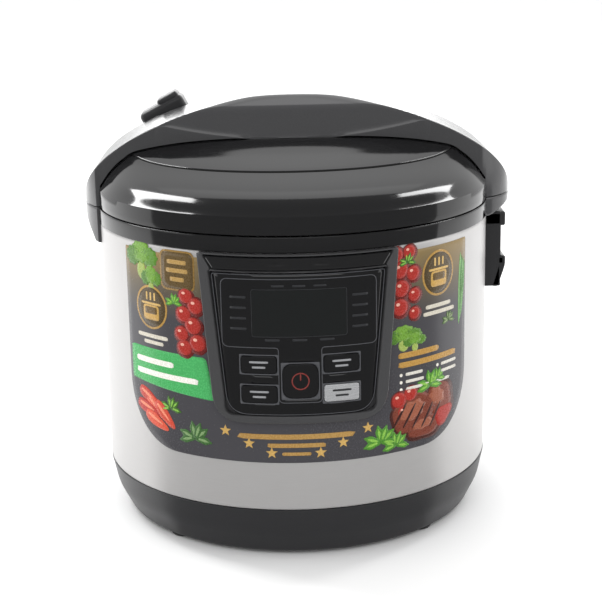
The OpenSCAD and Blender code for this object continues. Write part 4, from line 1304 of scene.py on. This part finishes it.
    def print_lines(self) -> None:
        """Thin line round the glass, the T-shaped line round display and start key, and the bars."""
        seam, g = self.size.seam, self.glass
        edge = unrolled(self.shield(self.frame_width + 1.0 * MM, 23.2 * MM), g)
        tee = np.array(
            [(-48, -26), (-48, -69.5), (-13.4, -69.5), (-13.4, -105.2), (13.4, -105.2), (13.4, -69.5),
             (48, -69.5), (48, -26)]
        ) * MM
        tee = eased(tee, np.array([4, 4, 2, 3, 3, 2, 4, 4]) * MM, 8) + [0, seam]
        lines = joined("glass_lines", [self.line("edge_line", edge, 0.45 * MM),
                                       self.line("tee_line", unrolled(tee, g), 0.5 * MM)])
        self.wardrobe.dress(lines, "grey_print", Body.BASE, "panel_gloss")
        bars = []
        for row, z in enumerate((-37.5, -44.2, -50.9, -57.6)):
            for side in (-1, 1):
                name = f"side_bar_{row}_{side + 1}"
                bars.append(self.bar(name, side * 38.2 * MM, z * MM, 5.2 * MM, 0.75 * MM))
        for k, x in enumerate((-17, 0, 17)):
            bars.append(self.bar(f"low_bar_{k}", x * MM, -64.6 * MM, 4.6 * MM, 0.7 * MM))
        for k, x in enumerate((-13, 0, 13)):
            bars.append(self.bar(f"top_bar_{k}", x * MM, -30.2 * MM, 4.0 * MM, 0.6 * MM))
        printed = joined("glass_bars", bars)
        self.wardrobe.dress(printed, "dim_print", Body.BASE, "panel_gloss")

    def display(self) -> None:
        """Unlit display behind the glass, with a fine frame and four faint digits of seven bars."""
        low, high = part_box("display_module")
        half = self.glass * math.asin(high.x / self.glass)
        outline = box_outline(half, low.z, high.z, 1.2 * MM)
        levels = [(outline, 0, -0.2 * MM), (outline, 0, 0.05 * MM), (outline, 0.1 * MM, 0.08 * MM)]
        screen = plate("display_screen", levels, self.on_glass, fills=10)
        self.wardrobe.dress(screen, "display_dark", Body.BASE)
        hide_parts("display_module")
        edge = self.line("display_line", outline, 0.35 * MM, 0.12 * MM)
        middle = (low.z + high.z) / 2 - self.size.seam
        bars = [edge]
        for k, x in enumerate((-16.5, -6.5, 6.5, 16.5)):
            for j, z in enumerate((-5.6, 0.0, 5.6)):
                bars.append(self.bar(f"digit_bar_{k}_{j}", x * MM, middle + z * MM, 2.4 * MM, 0.35 * MM))
            for side in (-1, 1):
                for j, z in enumerate((-2.8, 2.8)):
                    bars.append(
                        self.bar(f"digit_post_{k}_{side + 1}_{j}", (x + side * 3.1) * MM, middle + z * MM,
                                 0.35 * MM, 2.1 * MM)
                    )
        digits = joined("display_digits", bars)
        self.wardrobe.dress(digits, "dim_print", Body.BASE, "display_dark")

    def keys(self) -> None:
        """Five keys with pillowed faces in thin trims, each on its own body."""
        turn = math.asin(self.key_offset / self.radius)
        middle = turn * self.glass
        spots = [
            (Body.MENU, "menu_key", -middle, self.rows[0], self.key_half, 1.6 * MM, "panel_gloss"),
            (Body.RECIPE, "recipe_key", -middle, self.rows[1], self.key_half, 1.6 * MM, "panel_gloss"),
            (Body.DELAY, "delay_key", middle, self.rows[0], self.key_half, 1.6 * MM, "panel_gloss"),
            (Body.TIME, "time_key", middle, self.rows[1], self.key_half, 1.6 * MM, "silver_key"),
            (Body.START, "start_key", 0.0, self.start_drop, (self.start_half,) * 2, 5 * MM, "panel_gloss"),
        ]
        trims = []
        for body, node, x, drop, half, corner, finish in spots:
            z = self.size.seam - drop
            outline = box_outline(half[0], z - half[1], z + half[1], corner, x)
            levels = [
                (outline, 0, -5 * MM), (outline, 0, 0.0), (outline, 0.15 * MM, 0.35 * MM),
                (outline, 0.6 * MM, 0.56 * MM), (outline, 1.4 * MM, 0.6 * MM),
            ]
            key = crisp(plate(f"{node}_cap", levels, self.on_glass, count=120, fills=5), 40)
            self.wardrobe.dress(key, finish, body, "aluminium" if finish == "silver_key" else finish)
            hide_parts(node)
            self.key_print(node, body, x, z, finish)
            ring = offset(resampled(outline, 200), -self.gap)
            rim = 1.1 * MM
            left, right = x - half[0] - rim, x + half[0] + rim
            under, over = z - half[1] - rim, z + half[1] + rim
            square = eased([(left, under), (right, under), (right, over), (left, over)], [0.8 * MM] * 4)
            square = resampled(square, 200)
            shift = int(np.argmin(((square - ring[0]) ** 2).sum(axis=1)))
            square = np.roll(square, -shift, axis=0)
            levels = [
                (ring, 0, -0.6 * MM), (square, 0, -0.2 * MM), (square, 0, 0.12 * MM), (ring, 0, 0.12 * MM),
            ]
            trims.append(plate(f"{node}_trim", levels, self.on_glass, ring=True, count=200))
        trim = joined("key_trims", trims)
        self.wardrobe.dress(trim, "grey_print", Body.BASE, "panel_gloss")

    def key_print(self, node: str, body: Body, x: float, z: float, finish: str) -> None:
        """Print plain bars on a small key, or a round mark on the start key.

        Args:
            node: CAD node of the key.
            body: Body of the key.
            x: Middle of the key along the glass.
            z: Height of its middle.
            finish: Finish of the key.
        """
        lift = 0.6 * MM
        if body is Body.START:
            turn = np.linspace(0, 2 * np.pi, 60, endpoint=False)
            ring = np.stack([x + 5.2 * MM * np.cos(turn), z + 5.2 * MM * np.sin(turn)], axis=1)
            stem = box_outline(0.45 * MM, z + 0.6 * MM, z + 4.6 * MM, 0.3 * MM, x)
            marks = [
                plate("start_ring", [(ring, 0.4 * MM, lift - 0.1 * MM), (ring, 0.4 * MM, lift + 0.05 * MM),
                                     (ring, -0.4 * MM, lift + 0.05 * MM), (ring, -0.4 * MM, lift - 0.1 * MM)],
                      self.on_glass, ring=True, count=80),
                plate("start_stem", [(stem, 0, lift - 0.1 * MM), (stem, 0, lift + 0.05 * MM)], self.on_glass,
                      count=30, fills=2),
            ]
            self.wardrobe.dress(joined("start_mark", marks), "red_print", body, "red_silicone")
            return
        bars = []
        for k, (half, up) in enumerate(((6.0, 1.7), (4.2, -1.6))):
            outline = box_outline(half * MM, z + (up - 0.65) * MM, z + (up + 0.65) * MM, 0.3 * MM, x)
            levels = [(outline, 0, lift - 0.1 * MM), (outline, 0, lift + 0.05 * MM)]
            bars.append(plate(f"{node}_bar_{k}", levels, self.on_glass, count=40, fills=2))
        ink = "dark_print" if finish == "silver_key" else "pale_print"
        self.wardrobe.dress(joined(f"{node}_print", bars), ink, body, "panel_gloss")


def aim_outwards(obj: bpy.types.Object) -> None:
    """Flip an open sheet's faces if most of them point towards the upright axis."""
    mesh = obj.data
    count = len(mesh.polygons)
    centre, normal = np.empty(count * 3), np.empty(count * 3)
    mesh.polygons.foreach_get("center", centre)
    mesh.polygons.foreach_get("normal", normal)
    if (centre.reshape(-1, 3)[:, :2] * normal.reshape(-1, 3)[:, :2]).sum() < 0:
        mesh.flip_normals()


# ---------------------------------------------------------------- label


@dataclass
class Label:
    """Printed film round the front of the shell, with plain pictures of food and plain bars."""

    size: CookerSizes
    wardrobe: Wardrobe

    def __post_init__(self) -> None:
        """Work out where the film's surface lies."""
        self.place = round_the_shell(self.size.radius + 0.3 * MM)
        self.prints: list[bpy.types.Object] = []

    def build(self) -> None:
        """Build and dress the film and everything printed on it."""
        self.film()
        self.left_side()
        self.right_side()
        self.foot()
        ink = joined("label_pictures", self.prints)
        self.wardrobe.dress(ink, "label_ink", Body.BASE, "label_print")

    def film(self) -> None:
        """Film whose lower corners are cut in a long curve."""
        low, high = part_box("label_sticker")
        r = self.size.radius + 0.3 * MM
        half = r * math.radians(55.6)
        inner = r * math.radians(36.6)
        rise = low.z + 45 * MM
        turn = np.linspace(0, np.pi / 2, 14)
        right = np.stack([inner + (half - inner) * np.cos(turn), rise - 45 * MM * np.sin(turn)], axis=1)
        left = right * [-1, 1]
        outline = np.vstack([left, right[::-1], [[half, high.z], [-half, high.z]]])
        levels = [(outline, 0, -0.32 * MM), (outline, 0, -0.05 * MM), (outline, 0.1 * MM, 0.0)]
        sheet = plate("label_film", levels, self.place, count=420, fills=24)
        self.wardrobe.dress(sheet, "label_print", Body.BASE)
        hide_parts("label_sticker")

    def ink(self, outline: np.ndarray, colour: str, rise: float = 0.06) -> None:
        """Print one filled outline, given along the film and down from the seam in millimetres."""
        flat = outline * MM + [0, self.size.seam]
        levels = [(flat, 0, -0.04 * MM), (flat, 0, rise * MM)]
        span = float(np.ptp(outline, axis=0).max())
        count, fills = max(16, min(72, len(outline))), max(3, round(span / 6))
        obj = plate(f"ink_{len(self.prints)}", levels, self.place, count=count, fills=fills)
        self.prints.append(painted(obj, linear(colour)))

    def blob(
        self, x: float, z: float, wide: float, tall: float, colour: str,
        lobes: int = 0, depth: float = 0.0, lean: float = 0.0, rise: float = 0.06,
    ) -> None:
        """Print a rounded shape: an ellipse whose radius swells and shrinks round it.

        Args:
            x: Middle along the film, in millimetres.
            z: Middle from the seam, in millimetres.
            wide: Half width.
            tall: Half height.
            colour: Colour code.
            lobes: Number of swellings.
            depth: Share of the radius that they add.
            lean: Turn of the shape in degrees.
            rise: Height of the print, in millimetres.
        """
        turn = np.linspace(0, 2 * np.pi, 44, endpoint=False)
        reach = 1 + depth * np.cos(lobes * turn)
        flat = np.stack([wide * reach * np.cos(turn), tall * reach * np.sin(turn)], axis=1)
        c, s = math.cos(math.radians(lean)), math.sin(math.radians(lean))
        self.ink(flat @ np.array([[c, s], [-s, c]]) + [x, z], colour, rise)

    def bar(self, x: float, z: float, half: float, tall: float, colour: str, rise: float = 0.1) -> None:
        """Print one plain bar in place of a line of words."""
        self.ink(box_outline(half, z - tall, z + tall, 0.35 * min(half, tall), x), colour, rise)

    def star(self, x: float, z: float, reach: float) -> None:
        """Print a five-pointed star in gold."""
        turn = np.pi / 2 + np.arange(10) * np.pi / 5
        radius = np.where(np.arange(10) % 2 == 0, reach, 0.42 * reach)
        flat = np.stack([radius * np.cos(turn), radius * np.sin(turn)], axis=1)
        self.ink(np.repeat(flat, 3, axis=0) + [x, z], "c9a45c")

    def tomato(self, x: float, z: float, reach: float) -> None:
        """Print a tomato with a light spot and a green crown."""
        self.blob(x, z, reach, reach * 0.92, "b3271b", 5, 0.03)
        self.blob(x - 0.1 * reach, z + 0.05 * reach, 0.72 * reach, 0.66 * reach, "cf3a26", rise=0.09)
        self.blob(x - 0.35 * reach, z + 0.35 * reach, 0.18 * reach, 0.12 * reach, "f0a08c", rise=0.12)
        self.blob(x + 0.1 * reach, z + 0.6 * reach, 0.42 * reach, 0.3 * reach, "3d6b22", 5, 0.45, rise=0.13)

    def greens(self, x: float, z: float, wide: float, tall: float) -> None:
        """Print a head of broccoli: a pale stem under overlapping knobbly florets."""
        self.blob(x, z - 0.7 * tall, 0.28 * wide, 0.5 * tall, "9db35a")
        for dx, dz, size, colour in (
            (-0.55, 0.0, 0.5, "4f7f28"), (0.55, 0.05, 0.5, "598a2c"), (0.0, 0.3, 0.6, "6fa035"),
            (-0.25, 0.1, 0.34, "86b546"), (0.3, 0.35, 0.26, "93c052"),
        ):
            self.blob(x + dx * wide, z + dz * tall, size * wide, size * tall * 1.05, colour, 9, 0.08,
                      rise=0.07 + 0.02 * size)

    def pot_badge(self, x: float, z: float, reach: float) -> None:
        """Print a gold ring round a plain cooking pot with steam."""
        self.blob(x, z, reach, reach, "b8914a")
        self.blob(x, z, 0.9 * reach, 0.9 * reach, "54462c", rise=0.09)
        self.bar(x, z - 0.24 * reach, 0.5 * reach, 0.34 * reach, "c9a257", 0.12)
        self.bar(x, z - 0.14 * reach, 0.38 * reach, 0.16 * reach, "6a5530", 0.14)
        self.bar(x, z + 0.17 * reach, 0.62 * reach, 0.05 * reach, "d6b26a", 0.14)
        for dx in (-0.25, 0.0, 0.25):
            self.bar(x + dx * reach, z + 0.5 * reach, 0.05 * reach, 0.18 * reach, "d6b26a", 0.12)

    def leaves(self, x: float, z: float, reach: float, dark: str = "4f8f2c", light: str = "86bf4a") -> None:
        """Print a sprig: leaves that fan out of one point, each with a light middle."""
        for k, turn in enumerate((100, 40, 160, -10, 195, 70)):
            angle = math.radians(turn)
            dx, dz = 0.55 * reach * math.cos(angle), 0.45 * reach * math.sin(angle)
            self.blob(x + dx, z + dz, 0.55 * reach, 0.22 * reach, dark, 5, 0.1, turn, 0.07 + 0.01 * k)
            self.blob(x + dx, z + dz, 0.34 * reach, 0.08 * reach, light, 5, 0.1, turn, 0.1 + 0.01 * k)

    def cluster(self, spots: Sequence[Sequence[float]]) -> None:
        """Print small round tomatoes that overlap, each given as middle and reach."""
        for x, z, reach in spots:
            self.blob(x, z, reach, reach * 0.95, "6e1712", 5, 0.02, rise=0.07)
            self.blob(x - 0.08 * reach, z + 0.08 * reach, 0.78 * reach, 0.72 * reach, "ab2a20", rise=0.09)
            self.blob(x - 0.3 * reach, z + 0.34 * reach, 0.2 * reach, 0.14 * reach, "eab0a0", rise=0.12)

    def left_side(self) -> None:
        """Print the pictures left of the panel."""
        self.greens(-112, -20, 15, 12)
        self.greens(-103, -33, 9, 9)
        self.ink(box_outline(13.5, -38, -12, 4, -80.5), "9a7838")
        self.ink(box_outline(12.4, -36.9, -13.1, 3.2, -80.5), "5f4c28", 0.09)
        for z, half in ((-19.5, 7.5), (-25, 8.5), (-30.6, 5.5)):
            self.bar(-80.5, z, half, 1.4, "b08f52", 0.12)
        self.pot_badge(-104, -52, 14.5)
        self.bar(-104, -71.2, 14, 1.3, "d8d4c8")
        self.bar(-103, -75.4, 9, 1.2, "d8d4c8")
        self.cluster((
            (-74, -41, 6.5), (-67, -47, 7), (-76, -53, 7), (-69, -60, 7.5), (-78, -66, 6.5),
            (-66, -71, 7.5), (-76, -75, 7),
        ))
        self.leaves(-84, -46, 6)
        band = np.array([(-126.5, -102.5), (-126.5, -79.5), (-61, -79.5), (-55, -107.5)], float)
        self.ink(resampled(np.vstack([band, band[:1]])[::-1], 60)[:-1], "46b263")
        for z, left, right in ((-88, -121, -86), (-96.2, -121, -67)):
            self.bar((left + right) / 2, z, (right - left) / 2, 1.9, "f2f4ee", 0.12)
        for k, (x, z, lean) in enumerate((
            (-110, -113, -24), (-103, -119, -36), (-112, -121, -14), (-96, -122, -44), (-104, -128, -22),
        )):
            colour = ("c0392b", "d8543a", "b9302a", "cf4a34", "d8543a")[k]
            self.blob(x, z, 11.5, 4.2, colour, 3, 0.1, lean, 0.07 + 0.02 * k)
            self.blob(x - 1, z + 1.2, 7.5, 1.1, "eb8a6c", 3, 0.1, lean, 0.09 + 0.02 * k)
        self.leaves(-90, -117, 8, "3d6b22")
        self.leaves(-71, -134, 11, "3f6a35", "7d9f6a")

    def right_side(self) -> None:
        """Print the pictures right of the panel."""
        self.cluster((
            (64, -17, 6.5), (74, -16, 6), (67, -27, 7.5), (77, -30, 6.5), (68, -39, 7.5),
            (78, -44, 6), (67, -51, 7.5), (78, -56, 5.5),
        ))
        self.leaves(72, -22, 6, "3d6b22")
        self.pot_badge(99, -33, 15)
        self.bar(99, -54.2, 12, 1.3, "d8d4c8")
        self.bar(100, -58.6, 15, 1.3, "d8d4c8")
        for k in range(4):
            self.blob(122 + 1.3 * k, -48, 1.5, 24 - 2 * k, "4c8a44" if k % 2 else "7ab36a", lean=-2 - 1.5 * k)
        self.greens(69, -70, 14, 8)
        self.greens(78, -74, 9, 6)
        self.leaves(109, -66, 6, "4d6b3a", "8fa372")
        self.bar(82, -82.4, 17, 1.9, "b98f45")
        self.bar(91, -88.6, 26, 1.9, "b98f45")
        for k, (left, right) in enumerate(((14, 24), (15, 24), (40, 12))):
            z = -95.2 - 4.8 * k
            self.blob(67, z, 1.1, 1.1, "eceae2")
            self.bar(70.5 + left / 2, z, left / 2, 1.0, "dcdad2")
            if k < 2:
                self.blob(98, z + 1, 1.1, 1.1, "eceae2")
                self.bar(101.5 + right / 3, z + 1, right / 3, 1.0, "dcdad2")
        for x, z, wide, tall, lean in (
            (79, -123, 21, 15.5, 14), (101, -118, 15, 14, -30), (88, -134, 18, 8, 6),
        ):
            self.blob(x, z, wide, tall, "4a1e16", 5, 0.06, lean, 0.06)
            self.blob(x - 1, z + 1, 0.86 * wide, 0.82 * tall, "7b3a28", 5, 0.06, lean, 0.08)
            self.blob(x - 3, z + 3, 0.5 * wide, 0.4 * tall, "9c5a42", 7, 0.12, lean, 0.1)
        for k in range(5):
            self.blob(66 + 7.5 * k, -122 - 1.2 * k, 0.9, 9.5, "3a140e", lean=-34, rise=0.12)
        self.cluster(((66, -112, 7), (75, -109, 6.5), (69, -120, 5)))
        self.blob(104, -129, 9, 6, "a8322a", 3, 0.14, 24, 0.12)
        self.leaves(91, -106, 10)
        self.leaves(98, -103, 7)
        self.leaves(52, -137, 11)
        self.leaves(63, -141, 9)

    def foot(self) -> None:
        """Print the stars and bars under the panel."""
        for x, z in ((-49, -126), (-33.5, -133.4), (-19, -139.4), (43, -126), (26.5, -133.8), (12, -139.6)):
            self.star(x, z, 4.0)
        self.bar(-3.4, -128.6, 38, 1.7, "b08a4a")
        self.bar(-3.2, -134.4, 18.5, 1.4, "b08a4a")
        self.bar(-3.2, -140.0, 9.2, 1.1, "b08a4a")


# ---------------------------------------------------------------- studio


@dataclass
class Studio:
    """Pale floor, soft lights, a dim curtain and floor card in front, and the camera.

    card_reach holds the near and the far end of the floor card and the angle
    that the curtain reaches round. Each lamp is its name, place, width, height
    and power.
    """

    distance: float = 1.012
    camera_height: float = 0.404
    turn_degrees: float = 1.35
    pitch_degrees: float = 14.65
    roll_degrees: float = 1.1
    aside: float = 4.4 * MM
    lens: float = 88.6
    card_half: float = 2.6
    card_reach: tuple[float, float, float] = (0.09, 1.7, 112.0)
    card_light: float = 0.3
    air_light: float = 1.12
    lamps: tuple[tuple[str, tuple[float, float, float], float, float, float], ...] = (
        ("light_overhead", (0.0, 0.95, 1.7), 1.7, 0.5, 0.8),
        ("light_back", (0.0, 1.9, 0.75), 2.4, 0.8, 15.0),
        ("light_front", (0.0, -1.3, 0.95), 1.3, 0.3, 2.4),
        ("light_streak_left", (-0.95, 0.6, 1.35), 0.34, 0.8, 13.0),
        ("light_streak_right", (1.0, 0.6, 1.35), 0.24, 0.7, 6.0),
        ("light_left", (-1.5, -0.2, 0.6), 0.8, 0.8, 1.0),
        ("light_right", (1.5, -0.2, 0.6), 0.8, 0.8, 0.8),
    )

    def build(self) -> None:
        """Set up the floor, the cards, the lights and the camera."""
        self.floor()
        self.cards()
        self.lights()
        self.camera()

    def surface(self, name: str, colour: Sequence[float], rough: float) -> bpy.types.Material:
        """Plain studio surface."""
        material = bpy.data.materials.new(name)
        material.use_nodes = True
        shader = material.node_tree.nodes["Principled BSDF"]
        shader.inputs["Base Color"].default_value = (*colour, 1)
        shader.inputs["Roughness"].default_value = rough
        shader.inputs["Specular IOR Level"].default_value = 0.2
        return material

    def sheet(self, name: str, corners: Sequence[Sequence[float]]) -> bpy.types.Object:
        """Flat four-sided sheet of the set."""
        mesh = bpy.data.meshes.new(name)
        mesh.from_pydata([tuple(c) for c in corners], [], [(0, 1, 2, 3)])
        obj = bpy.data.objects.new(name, mesh)
        bpy.context.scene.collection.objects.link(obj)
        obj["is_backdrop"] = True
        return obj

    def floor(self) -> None:
        """Wide pale floor."""
        w = 12.0
        floor = self.sheet("studio_floor", [(-w, -w, 0), (w, -w, 0), (w, w, 0), (-w, w, 0)])
        floor.data.materials.append(self.surface("studio_paper", (0.9, 0.9, 0.9), 0.8))

    def cards(self) -> None:
        """Dim curtain and floor card in front, which only the glossy reflections see.

        The curtain is part of a drum round the X axis: a row is at one
        elevation and a column at one X. The floor card is its flat apron.
        """
        near, far, top = self.card_reach
        across = np.linspace(-self.card_half, self.card_half, 9)[None, :]
        rise = np.radians(np.linspace(0, top, 16))[:, None]
        strips = (
            ("card_curtain", -far * np.cos(rise), 0.002 + far * np.sin(rise)),
            ("card_floor", -np.linspace(near, far, 6)[:, None], np.full((6, 1), 0.0015)),
        )
        for name, depth, height in strips:
            grid = np.stack([across + 0 * depth, depth + 0 * across, height + 0 * across], axis=-1)
            card = mesh_from_grid(name, grid)
            material = bpy.data.materials.new(name)
            material.use_nodes = True
            shader = material.node_tree.nodes["Principled BSDF"]
            shader.inputs["Base Color"].default_value = (0, 0, 0, 1)
            shader.inputs["Specular IOR Level"].default_value = 0.0
            shader.inputs["Emission Color"].default_value = (1, 1, 1, 1)
            shader.inputs["Emission Strength"].default_value = self.card_light
            card.data.materials.append(material)
            card.visible_camera = card.visible_diffuse = card.visible_shadow = False
            card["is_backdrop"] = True

    def lights(self) -> None:
        """White surroundings and the lamps, all aimed at the cooker's lower half."""
        world = bpy.data.worlds.new("studio_air")
        world.use_nodes = True
        world.node_tree.nodes["Background"].inputs["Color"].default_value = (1, 1, 1, 1)
        world.node_tree.nodes["Background"].inputs["Strength"].default_value = self.air_light
        bpy.context.scene.world = world
        for name, spot, wide, tall, power in self.lamps:
            data = bpy.data.lights.new(name, "AREA")
            data.shape, data.energy = "RECTANGLE", power
            data.size, data.size_y = wide, tall
            obj = bpy.data.objects.new(name, data)
            obj.location = spot
            aim = Vector((0, 0, 0.12)) - Vector(spot)
            obj.rotation_euler = aim.to_track_quat("-Z", "Y").to_euler()
            bpy.context.scene.collection.objects.link(obj)
            obj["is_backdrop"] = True
        bpy.context.scene.view_settings.view_transform = "Standard"

    def camera(self) -> None:
        """Camera in front, a little to the left, looking down on the cooker."""
        degrees = (self.turn_degrees, self.pitch_degrees, self.roll_degrees)
        turn, pitch, roll = (math.radians(v) for v in degrees)
        right = Vector((math.cos(turn), -math.sin(turn), 0))
        level = Vector((math.sin(turn), math.cos(turn), 0))
        forward = level * math.cos(pitch) - Vector((0, 0, math.sin(pitch)))
        up = right.cross(forward)
        side = right * math.cos(roll) - up * math.sin(roll)
        top = up * math.cos(roll) + right * math.sin(roll)
        spot = -level * self.distance + right * self.aside + Vector((0, 0, self.camera_height))
        data = bpy.data.cameras.new("studio_camera")
        data.lens, data.sensor_width = self.lens, 36.0
        obj = bpy.data.objects.new("studio_camera", data)
        basis = Matrix((side, top, -forward)).transposed().to_4x4()
        obj.matrix_world = Matrix.Translation(spot) @ basis
        bpy.context.scene.collection.objects.link(obj)
        bpy.context.scene.camera = obj


def main() -> None:
    """Build every sub-assembly round the CAD model."""
    logging.basicConfig(level=logging.INFO, format="%(message)s")
    wardrobe = Wardrobe()
    wardrobe.dress_cad()
    size = CookerSizes.from_frame()
    Housing(size, wardrobe).build()
    Lid(size, wardrobe).build()
    ControlPanel(size, wardrobe).build()
    Label(size, wardrobe).build()
    Studio().build()
    boxes = {"cad": CAD_BOX, "visual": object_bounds()}
    {k: [[float(v) for v in corner] for corner in box] for k, box in boxes.items()}


if __name__ == "__main__":
    main()
